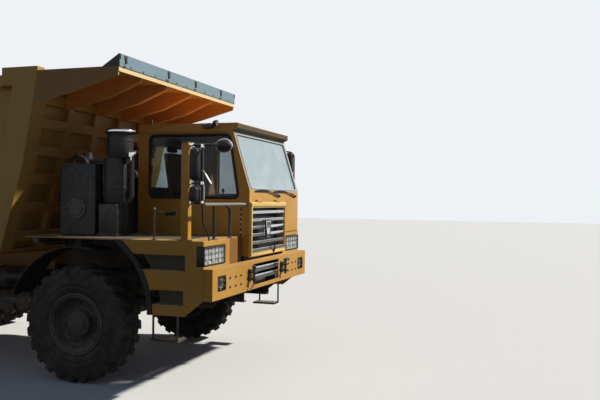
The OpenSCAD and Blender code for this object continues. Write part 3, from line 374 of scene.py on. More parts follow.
chrome = bare_metal("chrome", (0.80, 0.81, 0.82), 0.14, 40, 0.0001)
steel = bare_metal("steel", (0.52, 0.50, 0.47), 0.38, 300, 0.0002, (0.30, 0.25, 0.20))
cast_iron = bare_metal("cast_iron", (0.055, 0.052, 0.050), 0.6, 220, 0.0010,
                       (0.11, 0.085, 0.06), metallic=0.35)
black_iron = bare_metal("black_iron", (0.030, 0.031, 0.033), 0.42, 200, 0.0004,
                        (0.06, 0.055, 0.05), metallic=0.25)
print("metals cast")

# %% [markdown]
# Rubber and plastics. A tyre is dark grey, never black, with pale mud rubbed into the low parts.
# Moulded plastic has a fine leather grain.

# %% Rubber and plastic
def dull(name, colour, dusted, roughness, grain, depth, amount):
    m, tree, shader = finish(name, roughness, shine=0.25)
    mask = squeeze(tree, pattern(tree, 6, 8), 0.40, 0.72, 0.0, amount)
    speck = squeeze(tree, pattern(tree, 70, 3), 0.35, 0.7, 0.4, 1.0)
    mask = sums(tree, "MULTIPLY", mask, speck)
    tree.links.new(blend_colour(tree, mask, colour, dusted), shader.inputs["Base Color"])
    tree.links.new(squeeze(tree, pattern(tree, 11, 4), 0.3, 0.7, roughness * 0.85,
                           min(1, roughness * 1.2)), shader.inputs["Roughness"])
    bumps(tree, shader, pattern(tree, grain, 4), depth)
    return m


tyre_rubber = dull("tyre_rubber", (0.024, 0.027, 0.028), (0.15, 0.125, 0.095), 0.72, 120, 0.0012,
                   0.75)
# A pale blue-grey for the windscreen seal, a painted highlight on the pane's lit edge.
pale_seal = dull("pale_seal", (0.50, 0.56, 0.58), (0.62, 0.60, 0.55), 0.45, 200, 0.0002, 0.5)
seal_rubber = dull("seal_rubber", (0.014, 0.014, 0.015), (0.08, 0.07, 0.06), 0.6, 200, 0.0003, 0.35)
black_plastic = dull("black_plastic", (0.020, 0.020, 0.022), (0.09, 0.08, 0.07), 0.5, 420, 0.0003,
                     0.3)
cab_lining = dull("cab_lining", (0.46, 0.45, 0.42), (0.40, 0.37, 0.32), 0.7, 300, 0.0004, 0.4)
# A dark brown for the eave over the windscreen, painted shade under the roof's edge.
visor_plastic = dull("visor_plastic", (0.10, 0.062, 0.030), (0.16, 0.12, 0.08), 0.55, 200, 0.0004,
                     0.4)
print("rubber and plastic done")

# %% [markdown]
# Seats are covered in woven cloth. Two wave patterns at right angles make the weave.

# %% Seat cloth
def cloth(name, colour, other):
    m, tree, shader = finish(name, 0.9)
    weave = sums(tree, "MULTIPLY", *(waves(tree, axis, 120, 0.6) for axis in ("X", "Y")))
    tree.links.new(blend_colour(tree, weave, colour, other), shader.inputs["Base Color"])
    shader.inputs["Sheen Weight"].default_value = 0.3
    bumps(tree, shader, weave, 0.0008)
    return m


# The cloth is tan, made paler than it is as painted sunlight on the seats.
tan_cloth = cloth("tan_cloth", (0.90, 0.50, 0.27), (0.96, 0.60, 0.36))
dark_cloth = cloth("dark_cloth", (0.025, 0.025, 0.028), (0.06, 0.06, 0.065))
print("cloth woven")

# %% [markdown]
# Window glass is a mix: mostly a clear tint that one looks through, and a glossy coat whose share
# grows at a grazing angle. The facing value of a Layer Weight node, raised to the fifth power,
# gives that growth. Lamp lenses are the same with more body. The coat takes light like paint, so
# its colour is also a painted reflection: pale blue on the windscreen.

# %% Glass
GRAZING_POWER = 5.0


def glass(name, tint, film_and_reflection, share, roughness=0.03):
    m, tree, shader = finish(name, roughness, shine=1.0)
    dirt = squeeze(tree, pattern(tree, 5, 8), 0.35, 0.75, 0.0, 0.35)
    tree.links.new(blend_colour(tree, dirt, film_and_reflection, (0.50, 0.47, 0.42)), shader.inputs["Base Color"])
    clear = tree.nodes.new("ShaderNodeBsdfTransparent")
    clear.inputs["Color"].default_value = (*tint, 1)
    edge = tree.nodes.new("ShaderNodeLayerWeight")
    edge.inputs["Blend"].default_value = 0.5
    slant = sums(tree, "POWER", edge.outputs["Facing"], GRAZING_POWER)
    cover = sums(tree, "ADD", squeeze(tree, slant, 0, 1, share, 1.0),
                 squeeze(tree, pattern(tree, 4, 8), 0.45, 0.8, 0.0, 0.10))
    mixed_surface(tree, cover, clear.outputs[0], shader.outputs[0])
    return m


# The windscreen's pale blue coat is a painted reflection of the sky.
screen_glass = glass("screen_glass", (0.80, 0.86, 0.88), (0.56, 0.72, 0.80), 0.58)
side_glass = glass("side_glass", (0.74, 0.77, 0.78), (0.12, 0.15, 0.155), 0.12)
lamp_glass = glass("lamp_glass", (0.97, 0.98, 0.98), (0.85, 0.87, 0.88), 0.05)
print("glass ready")

# %% [markdown]
# ## Modelling helpers
# Blender's operators act on whatever is selected, so each helper first deselects everything. A
# finished piece has its place in its mesh and its origin at the truck's origin.

# %% Selecting and finishing
def only(piece):
    ops.object.select_all(action="DESELECT")
    piece.select_set(True)
    bpy.context.view_layer.objects.active = piece


def edit_all(piece):
    only(piece)
    ops.object.mode_set(mode="EDIT")
    ops.mesh.select_all(action="SELECT")


def leave_edit():
    ops.object.mode_set(mode="OBJECT")


def pick_faces(piece, wanted):
    """Leaves edit mode on with just the faces selected for which wanted(face) is true."""
    edit_all(piece)
    ops.mesh.select_mode(type="FACE")
    ops.mesh.select_all(action="DESELECT")
    leave_edit()
    for face in piece.data.polygons:
        face.select = bool(wanted(face))
    ops.object.mode_set(mode="EDIT")


def let_in(piece, wanted, *insets):
    """Insets the wanted faces once for each (thickness, depth)."""
    pick_faces(piece, wanted)
    for thickness, depth in insets:
        ops.mesh.inset(thickness=thickness, depth=depth)
    leave_edit()


def clone(source):
    made = source.copy()
    made.data = source.data.copy()
    bpy.context.scene.collection.objects.link(made)
    return made


def join(pieces):
    ops.object.select_all(action="DESELECT")
    for p in pieces:
        p.select_set(True)
    bpy.context.view_layer.objects.active = pieces[0]
    if len(pieces) > 1:
        ops.object.join()
    return bpy.context.view_layer.objects.active


def apply_all(piece):
    only(piece)
    for m in list(piece.modifiers):
        ops.object.modifier_apply(modifier=m.name)


def paint_with(piece, finishes):
    piece.data.materials.clear()
    for f in finishes:
        piece.data.materials.append(f)


def settle(piece, name, slot, *finishes, body="chassis", smooth=35):
    """Finishes a piece, or a list that is joined first, and puts it on its body."""
    if isinstance(piece, list):
        piece = join(piece)
    only(piece)
    piece.name = piece.data.name = name
    ops.object.transform_apply(location=True, rotation=True, scale=True)
    ops.object.shade_smooth_by_angle(angle=math.radians(smooth))
    paint_with(piece, finishes)
    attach(piece, body)
    return piece


print("selection helpers ready")

# %% [markdown]
# Sheet metal has no sharp edges. The solids do, so the body panels are rounded here: a copy of the
# solid is merged, its flat triangles are dissolved into whole faces, and a Bevel modifier rounds
# every edge over 35 degrees. The copy then stands for the solid.

# %% Rounded copies of the solids
EDGE_ANGLE = math.radians(35)


def rounded_panel(node, slot, *finishes, width=0.005, segments=2):
    source = NODES[node]
    piece = clone(source)
    for key in list(piece.keys()):
        del piece[key]
    piece.parent = None
    edit_all(piece)
    ops.mesh.remove_doubles(threshold=0.0002)
    ops.mesh.dissolve_limited(angle_limit=math.radians(0.4))
    leave_edit()
    ops.object.shade_smooth_by_angle(angle=EDGE_ANGLE)
    bevel = piece.modifiers.new("rounding", "BEVEL")
    bevel.width, bevel.segments = width, segments
    bevel.limit_method, bevel.angle_limit = "ANGLE", EDGE_ANGLE
    bevel.use_clamp_overlap = False
    bevel.harden_normals = True
    apply_all(piece)
    piece.name = piece.data.name = node + "_panel"
    paint_with(piece, finishes)
    paint_faces(piece, 0, lambda c, n: True)
    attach(piece, source["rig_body"])
    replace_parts(piece, node)
    return piece


def paint_faces(piece, index, wanted):
    for face in piece.data.polygons:
        if wanted(face.center, face.normal):
            face.material_index = index


print("panel helpers ready")

# %% [markdown]
# Ways to start a small part: a rounded block between two corners, or between two distances from
# the nose, a profile spun round an axis, a bent tube along a route, and a hexagon bolt that is
# modelled once and copied.

# %% Blocks, spun parts, tubes and bolts
def block(low, high, soft=0.006, segments=2):
    size = [b - a for a, b in zip(low, high)]
    middle = [(a + b) / 2 for a, b in zip(low, high)]
    ops.object.select_all(action="DESELECT")
    ops.mesh.primitive_cube_add(size=1, location=middle)
    piece = bpy.context.object
    piece.scale = size
    ops.object.transform_apply(location=True, rotation=True, scale=True)
    if soft:
        edit_all(piece)
        ops.mesh.bevel(offset=min(soft, min(size) * 0.45), segments=segments, affect="EDGES")
        leave_edit()
    return piece


def slab(distances, ys, zs, soft=0.006, segments=2):
    """A block between two distances from the nose, the far one first."""
    return block(*(at(d, y, z) for d, y, z in zip(distances, ys, zs)), soft, segments)


def spun(profile, centre, axis="Z", steps=48):
    """Spins [radius, along] points round an axis through centre."""
    mesh = bpy.data.meshes.new("spun")
    mesh.from_pydata([(r, 0, h) for r, h in profile],
                     [(i, i + 1) for i in range(len(profile) - 1)], [])
    piece = new_object("spun", mesh)
    edit_all(piece)
    ops.mesh.spin(steps=steps, angle=math.tau, center=(0, 0, 0), axis=(0, 0, 1))
    ops.mesh.select_all(action="SELECT")
    ops.mesh.remove_doubles(threshold=0.0001)
    ops.mesh.normals_make_consistent(inside=False)
    leave_edit()
    turn = {"Z": Matrix.Identity(4), "Y": Matrix.Rotation(-math.pi / 2, 4, "X"),
            "-Y": Matrix.Rotation(math.pi / 2, 4, "X"),
            "X": Matrix.Rotation(math.pi / 2, 4, "Y")}[axis]
    piece.data.transform(Matrix.Translation(centre) @ turn)
    return piece


def band(radius, half_width, centre, axis, steps):
    """A thin strap round a pipe or a tank."""
    outer = radius + 0.005
    return spun([(radius, -half_width), (outer, -half_width), (outer, half_width),
                 (radius, half_width)], centre, axis, steps)


def round_corner(start, corner, end, steps):
    """Points of the curve that leaves the corner of a route on its outer side."""
    return [start * (1 - t) ** 2 + corner * 2 * t * (1 - t) + end * t * t
            for t in (k / steps for k in range(steps + 1))]


def bent(points, bend, steps=5):
    """Adds rounded corners of about the size bend to a route of straight runs."""
    points = [Vector(p) for p in points]
    route = [points[0]]
    for a, b, c in zip(points, points[1:], points[2:]):
        p = b + (a - b).normalized() * min(bend, (a - b).length * 0.49)
        q = b + (c - b).normalized() * min(bend, (c - b).length * 0.49)
        route += round_corner(p, b, q, steps)
    return route + [points[-1]]


def swept(route, radius, resolution, closed=False):
    curve = bpy.data.curves.new("tube", "CURVE")
    curve.dimensions = "3D"
    curve.bevel_depth, curve.bevel_resolution = radius, resolution
    curve.use_fill_caps = not closed
    line = curve.splines.new("POLY")
    line.points.add(len(route) - 1)
    for point, place in zip(line.points, route):
        point.co = (*place, 1)
    line.use_cyclic_u = closed
    only(new_object("tube", curve))
    ops.object.convert(target="MESH")
    return bpy.context.object


def tube(points, radius, bend=0.05, resolution=3):
    route = bent(points, bend) if bend and len(points) > 2 else [Vector(p) for p in points]
    return swept(route, radius, resolution)


def pipe(places, radius, bend=0.05):
    """A tube through places that are given by their distance from the nose, y and z."""
    return tube([at(*place) for place in places], radius, bend)


def sag(a, b, drop, count):
    """A hanging line between two points."""
    a, b = Vector(a), Vector(b)
    return [a.lerp(b, t) - Vector((0, 0, drop * 4 * t * (1 - t)))
            for t in (i / count for i in range(count + 1))]


def cylinder(vertices, radius, depth, height):
    ops.object.select_all(action="DESELECT")
    ops.mesh.primitive_cylinder_add(vertices=vertices, radius=radius, depth=depth,
                                    location=(0, 0, height))
    return bpy.context.object


def one_bolt(size):
    washer = cylinder(12, size * 1.15, size * 0.3, size * 0.15)
    head = cylinder(6, size, size * 0.8, size * 0.65)
    let_in(head, lambda f: f.normal.z > 0.9, (size * 0.15, size * 0.1))
    bolt = join([washer, head])
    ops.object.transform_apply(location=True, rotation=True, scale=True)
    return bolt


def copies(source, places):
    """One piece of many copies of source, each moved by a matrix. The source is used up."""
    made = []
    for place in places:
        made.append(clone(source))
        made[-1].data.transform(place)
    bpy.data.objects.remove(source)
    return join(made)


def facing(place, outward):
    turn = Vector(outward).to_track_quat("Z", "Y").to_matrix().to_4x4()
    return Matrix.Translation(place) @ turn


def bolts(name, places, outward, size, look=steel, body="chassis"):
    piece = copies(one_bolt(size), [facing(p, outward) for p in places])
    return settle(piece, name, "steel", look, body=body)


print("modelling helpers ready")

# %% [markdown]
# ## Plain solids that keep their shape
# Where a solid is right as it is, it stays and gets a finish in its material slot.

# %% Finishes for the kept solids
KEPT = {
    "arch_guards": seal_rubber, "side_steps": dark_paint, "roof_lamps": black_plastic,
    "dashboard": black_plastic, "engine": cast_iron, "radiator": dark_paint,
    "fuel_tank": dark_paint, "air_tanks": dark_paint, "springs": dark_paint,
    "tie_rod": steel, "drive_shafts": dark_paint, "hoist_barrels": dark_paint,
    "hoist_rods": chrome, "silencer": cast_iron, "hydraulic_tank": dark_paint,
    "knuckle_left": cast_iron, "knuckle_right": cast_iron,
    "front_axle": cast_iron, "rear_axles": cast_iron,
}
for name, look_of in KEPT.items():
    node = NODES[name]
    node.data.materials.clear()
    node.data.materials.append(look_of)
    only(node)
    ops.object.shade_smooth_by_angle(angle=math.radians(30))
print("kept solids finished:", len(KEPT))

# %% [markdown]
# ## Body panels
# Bumper, fenders, cab, door, flap and bed are heavy folded plate. The rounded copies take the
# yellow paint. The cab's inside gets its lining, and the inside of the fenders stays dark, so a
# second finish is given to the faces found there.

# %% Rounded body panels
rounded_panel("bumper", "yellow_paint", yellow_paint, width=0.004)
for side in ("right", "left"):
    fender = rounded_panel("fender_" + side, "yellow_paint", yellow_paint, dark_paint, primer_paint,
                           pocket_paint, width=0.005)
    paint_faces(fender, 1, lambda c, n: (c.z < 1.684 and abs(c.y) < 1.44 and c.x < behind(0.13))
                or (c.z < 1.69 and n.z < -0.9))
    # Finish 2 on the apron between lamp box and nose is a dark brown painted shade.
    paint_faces(fender, 2, lambda c, n: n.x > 0.9 and abs(c.y) < 0.94 and 1.15 < c.z < 1.69
                and c.x > behind(0.24))
    # Finish 3 in the side pockets is a dark grey, dust and painted shade in the recess.
    paint_faces(fender, 3, lambda c, n: behind(1.00) < c.x < behind(0.33)
                and 1.44 < abs(c.y) < 1.60 and 0.97 < c.z < 1.55)
cab = rounded_panel("cab_shell", "yellow_paint", yellow_paint, cab_lining, visor_plastic,
                    width=0.007, segments=3)
paint_faces(cab, 1, lambda c, n: behind(1.66) < c.x < behind(0.14) and -0.33 < c.y < 1.54
            and 1.73 < c.z < 3.10
            and not (c.x > behind(0.34) and c.z > 3.0))
# Finish 2 on the eave's front face above the windscreen is the dark brown painted shade.
paint_faces(cab, 2, lambda c, n: c.x > behind(0.34) and 3.02 < c.z < 3.118 and n.z < 0.4
            and abs(n.y) < 0.5)
door = rounded_panel("door_left", "yellow_paint", yellow_paint, cab_lining, width=0.005)
paint_faces(door, 1, lambda c, n: c.y < 1.541)
# The flap's paler coat is part fading and part painted sunlight on its sun-facing front.
flap = rounded_panel("front_flap", "yellow_paint", faded_paint, dark_paint, width=0.004)
paint_faces(flap, 1, lambda c, n: n.x < -0.9)
print("panels", len(cab.data.polygons), "faces on the cab")

# %% [markdown]
# The bed's plates are scoured. Under its canopy a warmer orange is painted bounce light, its
# sun-facing front lip is a pale painted highlight, and its two cheeks are dark painted shade.

# %% Rounded bed plates
for node in ("bed_floor", "bed_beams", "bed_side_left", "bed_side_right", "bed_front_wall"):
    rounded_panel(node, "yellow_paint", bed_paint, sheltered_paint, width=0.006)
canopy = rounded_panel("bed_canopy", "yellow_paint", bed_paint, sheltered_paint, edge_paint,
                       grimy_paint, width=0.006)
# The canopy's forward faces get the pale cream, a painted highlight where the sun falls.
paint_faces(canopy, 2, lambda c, n: n.x > 0.9 and c.x > behind(1.30))
# The canopy's two cheeks get the dark brown, painted shade.
paint_faces(canopy, 3, lambda c, n: abs(n.y) > 0.9 and abs(c.y) > 1.62)
# Faces under the canopy get the warmer orange, painted bounce light from the deck and cab roof.
paint_faces(canopy, 1, lambda c, n: n.z < 0.3 and n.x < 0.9 and abs(c.y) < 1.635 and c.z < 3.655)
strip = rounded_panel("canopy_strip", "grey_paint", grey_paint, dark_paint, width=0.003)
# The strip's side cheeks get dark paint, a painted shade.
paint_faces(strip, 1, lambda c, n: abs(n.y) > 0.9)
rounded_panel("frame_rails", "dark_paint", dark_paint, width=0.004)
print("bed plates rounded")

# %% [markdown]
# ## Wheels
# A 25 inch mine tyre is a thick carcass with deep cross lugs, cut in two rows with half a pitch
# between them, so that it rolls quietly and sheds stones. The carcass is one profile spun round
# the axle. One lug with its shoulder bar is modelled as a rounded block, slanted, and copied
# round. A displaced plane could do it too, but real blocks keep crisp edges from every side.

# %% One tyre
LUGS = 24
CARCASS = [(0.331, 0.128), (0.345, 0.150), (0.375, 0.166), (0.407, 0.176), (0.422, 0.183),
           (0.432, 0.178), (0.470, 0.183), (0.478, 0.187), (0.492, 0.187), (0.500, 0.184),
           (0.547, 0.1865), (0.590, 0.185), (0.622, 0.180), (0.645, 0.166), (0.653, 0.140),
           (0.655, 0.060), (0.652, 0.020)]
SLANT = Matrix(((1, 0.42, 0, -0.04), (0, 1, 0, 0), (0, 0, 1, 0), (0, 0, 0, 1)))


def make_tyre():
    carcass = spun([(r, -w) for r, w in CARCASS] + [(r, w) for r, w in reversed(CARCASS)]
                   + [(0.331, -0.128)], (0, 0, 0), "Y", 72)
    lug = block((-0.052, 0.014, 0.640), (0.052, 0.168, 0.6815), 0.007, 1)
    pick_faces(lug, lambda f: f.normal.z > 0.9)
    ops.transform.resize(value=(0.86, 0.97, 1))
    leave_edit()
    bar = block((-0.036, 0.158, 0.578), (0.036, 0.1868, 0.668), 0.008, 1)
    lug.data.transform(SLANT)
    bar.data.transform(Matrix.Translation((0.028, 0, 0)))
    places, step = [], math.tau / LUGS
    for i in range(LUGS):
        places += [Matrix.Rotation(i * step, 4, "Y"),
                   Matrix.Rotation((i + 0.5) * step, 4, "Y") @ Matrix.Rotation(math.pi, 4, "Z")]
    return join([carcass, copies(join([lug, bar]), places)])


tyre = make_tyre()
print("tyre", len(tyre.data.polygons), "faces")

# %% [markdown]
# The rim is built up of rings: a bead seat with flanges, a lock ring, and a dished disc that is
# bolted to the hub. All of it turns round one axis, so one closed profile is spun, and the nuts
# are copied round it. The front rim bulges out, the rear ones are dished deep.

# %% Rims
BARREL_IN = [(0.300, -0.140), (0.318, -0.165), (0.350, -0.172), (0.362, -0.168),
             (0.362, -0.160), (0.345, -0.155), (0.331, -0.140)]
BARREL_OUT = [(0.331, 0.140), (0.345, 0.155), (0.362, 0.160), (0.362, 0.168), (0.352, 0.173),
              (0.338, 0.170), (0.335, 0.160), (0.329, 0.160), (0.326, 0.168), (0.315, 0.166),
              (0.303, 0.146)]


def make_rim(dish, hub_from, hub_to):
    profile = [(0.0, hub_from), (0.142, hub_from), (0.146, dish - 0.022), (0.190, dish - 0.022),
               (0.285, dish - 0.014), (0.297, dish - 0.040)] + BARREL_IN + BARREL_OUT + [
               (0.299, dish + 0.030), (0.290, dish + 0.012), (0.262, dish + 0.004),
               (0.200, dish + 0.006), (0.190, dish + 0.016), (0.168, dish + 0.018),
               (0.160, dish + 0.026), (0.150, hub_to - 0.020), (0.140, hub_to - 0.006),
               (0.098, hub_to - 0.002), (0.090, hub_to + 0.012), (0.060, hub_to + 0.016),
               (0.0, hub_to + 0.016)]
    parts = [spun(profile, (0, 0, 0), "Y", 60)]
    for size, count, radius, level in ((0.016, 12, 0.232, dish + 0.004),
                                       (0.009, 8, 0.120, hub_to - 0.003)):
        upright = facing((0, level, radius), (0, 1, 0))
        parts.append(copies(one_bolt(size), [Matrix.Rotation(i * math.tau / count, 4, "Y") @ upright
                                             for i in range(count)]))
    return join(parts)


rim_front = make_rim(0.020, -0.110, 0.115)
rim_outer = make_rim(-0.100, -0.200, 0.026)
rim_inner = make_rim(0.060, -0.118, 0.150)
print("rims", len(rim_front.data.polygons), "faces each")

# %% Wheels on their axles
FRONT_Y, INNER_Y, OUTER_Y = 1.412, 1.015, 1.440


def set_wheel(source, spots, name, body, slot, look):
    """Copies source to each (x, y) spot; a spot on the right is turned half round."""
    made = []
    for n, (x, y) in enumerate(spots):
        turn = Matrix.Identity(4) if y > 0 else Matrix.Rotation(math.pi, 4, "Z")
        roll_by = Matrix.Rotation(0.37 * (n + 1) + x, 4, "Y")
        made.append(clone(source))
        made[-1].data.transform(Matrix.Translation((x, y, AXLE_Z)) @ turn @ roll_by)
    return settle(made, name, slot, look, body=body)


for side, s in reversed(SIDES):
    spot = [(behind(FRONT_AXLE), s * FRONT_Y)]
    body = "wheel_front_" + side
    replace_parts(set_wheel(tyre, spot, "tread_front_" + side, body, "tyre", tyre_rubber),
                "tyre_front_" + side)
    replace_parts(set_wheel(rim_front, spot, "disc_front_" + side, body, "rim_paint", rim_paint),
                "rim_front_" + side)
    for axle, d in (("mid", MID_AXLE), ("rear", REAR_AXLE)):
        inner, outer = (behind(d), s * INNER_Y), (behind(d), s * OUTER_Y)
        place = axle + "_" + side
        body = "wheels_" + place
        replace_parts(set_wheel(tyre, [inner, outer], "tread_" + place, body, "tyre", tyre_rubber),
                    "tyres_" + place)
        disc = set_wheel(rim_outer, [outer], "disc_" + place, body, "rim_paint", rim_paint)
        set_wheel(rim_inner, [inner], "inner_disc_" + place, body, "rim_paint", rim_paint)
        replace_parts(disc, "rims_" + place)
for source in (tyre, rim_front, rim_outer, rim_inner):
    bpy.data.objects.remove(source)
print("ten tyres and rims placed")

# %% [markdown]
# ## Windows
# The panes are copies of the solid glass with a small rounding. The windscreen faces the sky and
# shows mostly a pale blue coat, a painted reflection of the sky over its real gloss, while the side
# panes let the dark cab be seen, so each pane gets its own glass.

# %% Panes
panes = rounded_panel("cab_glass", "glass", screen_glass, side_glass, width=0.0015, segments=1)
paint_faces(panes, 1, lambda c, n: c.x < behind(0.37) or abs(c.y + 0.349) < 0.02)
rounded_panel("door_glass", "glass", side_glass, width=0.0015, segments=1)
print("panes cut")

# %% [markdown]
# A pane sits in a rubber seal that is pressed over the edge of the sheet metal. It is a closed
# loop with round corners, swept with a small round section.

# %% Rubber seals
SCREEN_FOOT, SCREEN_TOP = (0.100, 2.28), (0.333, 3.03)
LEAN = (SCREEN_TOP[1] - SCREEN_FOOT[1]) / (SCREEN_TOP[0] - SCREEN_FOOT[0])


def on_screen(z, out):
    """X of the windscreen's outer face at a height, moved out by a little."""
    return behind(SCREEN_FOOT[0] + (z - SCREEN_FOOT[1]) / LEAN) + out


def seal(name, points, radius, corner, look=seal_rubber, body="chassis"):
    route = []
    for i in range(len(points)):
        a, b, c = (Vector(points[(i + k) % len(points)]) for k in (-1, 0, 1))
        route += round_corner(b + (a - b).normalized() * corner, b,
                              b + (c - b).normalized() * corner, 6)
    return settle(swept(route, radius, 2, closed=True), name, "rubber", look, body=body)


# The windscreen's seal is pale blue-grey, a painted highlight along the lit edge of the pane.
seal("screen_seal", [(on_screen(z, 0.001), y, z) for y, z in
                     ((-0.315, 2.300), (1.495, 2.300), (1.495, 2.990), (-0.315, 2.990))],
     0.009, 0.05, pale_seal)
seal("side_seal", [at(0.251, -0.367, 2.180), at(0.377, -0.367, 2.980), at(1.510, -0.367, 2.980),
                   at(1.510, -0.367, 2.180)], 0.019, 0.07)
seal("door_seal", [at(0.560, 1.577, 2.180), at(0.560, 1.577, 2.950), at(1.410, 1.577, 2.950),
                   at(1.410, 1.577, 2.180)], 0.016, 0.06, body="door")
seal("rear_seal", [at(1.692, -0.115, 2.300), at(1.692, 1.325, 2.300), at(1.692, 1.325, 2.900),
                   at(1.692, -0.115, 2.900)], 0.016, 0.05)
print("seals swept")

# %% [markdown]
# ## Lamps
# The head lamp is a wide black box let into the fender's corner, with three round reflectors
# behind a clear pane and a wire guard against stones. The wires are swept tubes, seven upright
# and four across. A smaller fog lamp hangs in each end of the bumper.

# %% Head lamps
lamp_white = bare_metal("lamp_white", (0.74, 0.76, 0.78), 0.30, 60, 0.0001, (0.82, 0.82, 0.80),
                        metallic=0.0)


def dish_lamp(centre, radius, depth):
    return spun([(0.0, -depth), (radius * 0.35, -depth * 0.9), (radius * 0.75, -depth * 0.5),
                 (radius, 0.0), (radius * 1.06, 0.002), (radius * 1.06, -0.010),
                 (radius * 0.8, -depth * 0.62), (radius * 0.35, -depth - 0.010),
                 (0.0, -depth - 0.012)], centre, "X", 40)


def lamp_frame(ds, near, far, zs, between, width, soft):
    """Four bars round a lamp. zs are the edges of the low bar and of the high one."""
    return [slab(ds, (near, far), zs[:2], soft), slab(ds, (near, far), zs[2:], soft),
            slab(ds, (near, near + width), between, soft),
            slab(ds, (far - width, far), between, soft)]


LAMP_EDGES, REFLECTOR_YS, REFLECTOR_Z, WIRE = (1.069, 1.638), (1.205, 1.350, 1.500), 1.530, 0.0034
for side, s in SIDES:
    near, far = sorted(s * y for y in LAMP_EDGES)
    inner = (near + 0.014, far - 0.014)
    box = [slab((0.199, 0.130), (near, far), (1.425, 1.635))]
    box += lamp_frame((0.132, 0.108), near, far, (1.425, 1.440, 1.620, 1.635), (1.436, 1.624),
                      0.016, 0.004)
    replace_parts(settle(box, "lamp_box_" + side, "lamp", black_plastic), "front_lamps")
    bowls = [slab((0.133, 0.1285), inner, (1.438, 1.622), 0.001, 1)]
    bowls += [dish_lamp(at(0.120, s * y, REFLECTOR_Z), 0.066, 0.012) for y in REFLECTOR_YS]
    settle(bowls, "lamp_bowls_" + side, "lamp", lamp_white)
    settle(slab((0.1165, 0.1125), inner, (1.438, 1.622), 0.001, 1), "lamp_pane_" + side, "glass",
           lamp_glass)
    upright = (near + 0.012 + i * (far - near - 0.024) / 6 for i in range(7))
    wires = [pipe([(0.107, y, 1.430), (0.107, y, 1.630)], WIRE) for y in upright]
    wires += [pipe([(0.104, near + 0.008, z), (0.104, far - 0.006, z)], WIRE)
              for z in (1.434, 1.497, 1.560, 1.626)]
    settle(wires, "lamp_guard_" + side, "dark_paint", black_iron)
print("head lamps built")

# %% Fog lamps in the bumper
FOG_EDGES, FOG_Y, FOG_Z = (1.294, 1.506), 1.400, 1.225
for side, s in SIDES:
    near, far = sorted(s * y for y in FOG_EDGES)
    box = [slab((0.050, 0.022), (near, far), (1.144, 1.306)),
           slab((0.050, 0.034), (s * FOG_Y - 0.04, s * FOG_Y + 0.04), (1.300, 1.388), 0.003)]
    box += lamp_frame((0.030, -0.002), near, far, (1.144, 1.158, 1.292, 1.306), (1.150, 1.300),
                      0.014, 0.003)
    settle(box, "fog_box_" + side, "lamp", black_plastic)
    middle = at(0.012, s * FOG_Y, FOG_Z)
    settle(dish_lamp(middle, 0.064, 0.018), "fog_bowl_" + side, "lamp", lamp_white)
    settle(spun([(0.0, 0.006), (0.03, 0.005), (0.066, 0.0), (0.066, -0.003), (0.0, 0.002)], middle,
                "X", 40), "fog_pane_" + side, "glass", lamp_glass)
    bars = [pipe([(-0.003, near + y, 1.148), (-0.012, near + y, 1.165), (-0.012, near + y, 1.285),
                  (-0.003, near + y, 1.302)], 0.005, 0.012) for y in (0.030, 0.081, 0.131, 0.182)]
    bars += [pipe([(-0.012, near + 0.02, z), (-0.012, far - 0.02, z)], 0.005)
             for z in (1.195, 1.255)]
    settle(bars, "fog_guard_" + side, "dark_paint", black_iron)
print("fog lamps built")

# %% [markdown]
# ## Nose
# The bumper's mouth is closed by two polished bars between black tow clevises. The solid already
# has their true places, so its rounded copy gets two finishes, chosen by the distance from the
# middle. Bars are bevelled wide, so that the sky runs along them as a soft line. The pins hang on
# bent handles.

# %% Bumper fittings
fittings = rounded_panel("bumper_fittings", "chrome", chrome, black_iron, width=0.004)
paint_faces(fittings, 1, lambda c, n: abs(c.y) > 0.515 or c.x > NOSE_X + 0.001)
bars = [slab((0.034, 0.001), (-0.485, 0.485), (z, z + 0.052), 0.018, 4) for z in (1.172, 1.272)]
settle(bars, "mouth_bars", "chrome", chrome)
PIN_X = 4.238
handles = [tube([(PIN_X, -0.580, 1.156), (PIN_X, -0.592, 1.128), (4.232, -0.690, 1.062)], 0.009,
                0.02),
           tube([(PIN_X, 0.580, 1.336), (PIN_X, 0.586, 1.362), (4.236, 0.700, 1.352),
                 (4.236, 0.730, 1.318)], 0.009, 0.02)]
handles += [spun([(0.0, 0.0), (0.026, 0.002), (0.030, 0.010), (0.026, 0.018), (0.0, 0.020)],
                 (PIN_X, s * 0.58, 1.338), "Z", 24) for s in (-1, 1)]
settle(handles, "clevis_pins", "dark_paint", black_iron)
bolts("clevis_bolts", [(4.1935, s * 0.58 + y, z) for s in (-1, 1) for y in (-0.048, 0.048)
                       for z in (1.182, 1.298)], (1, 0, 0), 0.008, black_iron)
bolts("bumper_bolts", [(NOSE_X - 0.001, s * y, z) for s in (-1, 1) for y in (0.86, 1.02, 1.18)
                       for z in (1.162, 1.265)], (1, 0, 0), 0.012, black_iron)
print("bumper dressed")

# %% [markdown]
# Behind the grille bars stands the radiator. From outside one sees dark upright fins crossed by
# flat tubes. At this size a bump pattern of two waves is enough, on a plate just ahead of the
# radiator's tank.

# %% Radiator core
def core_fins(name):
    m, tree, shader = finish(name, 0.5, 0.4, shine=0.3)
    grid = sums(tree, "MULTIPLY", *(squeeze(tree, waves(tree, axis, scale), 0.35, 0.65)
                                    for axis, scale in (("Y", 42), ("Z", 12))))
    tree.links.new(blend_colour(tree, grid, (0.010, 0.011, 0.012), (0.055, 0.060, 0.066)),
                   shader.inputs["Base Color"])
    bumps(tree, shader, grid, 0.003)
    return m


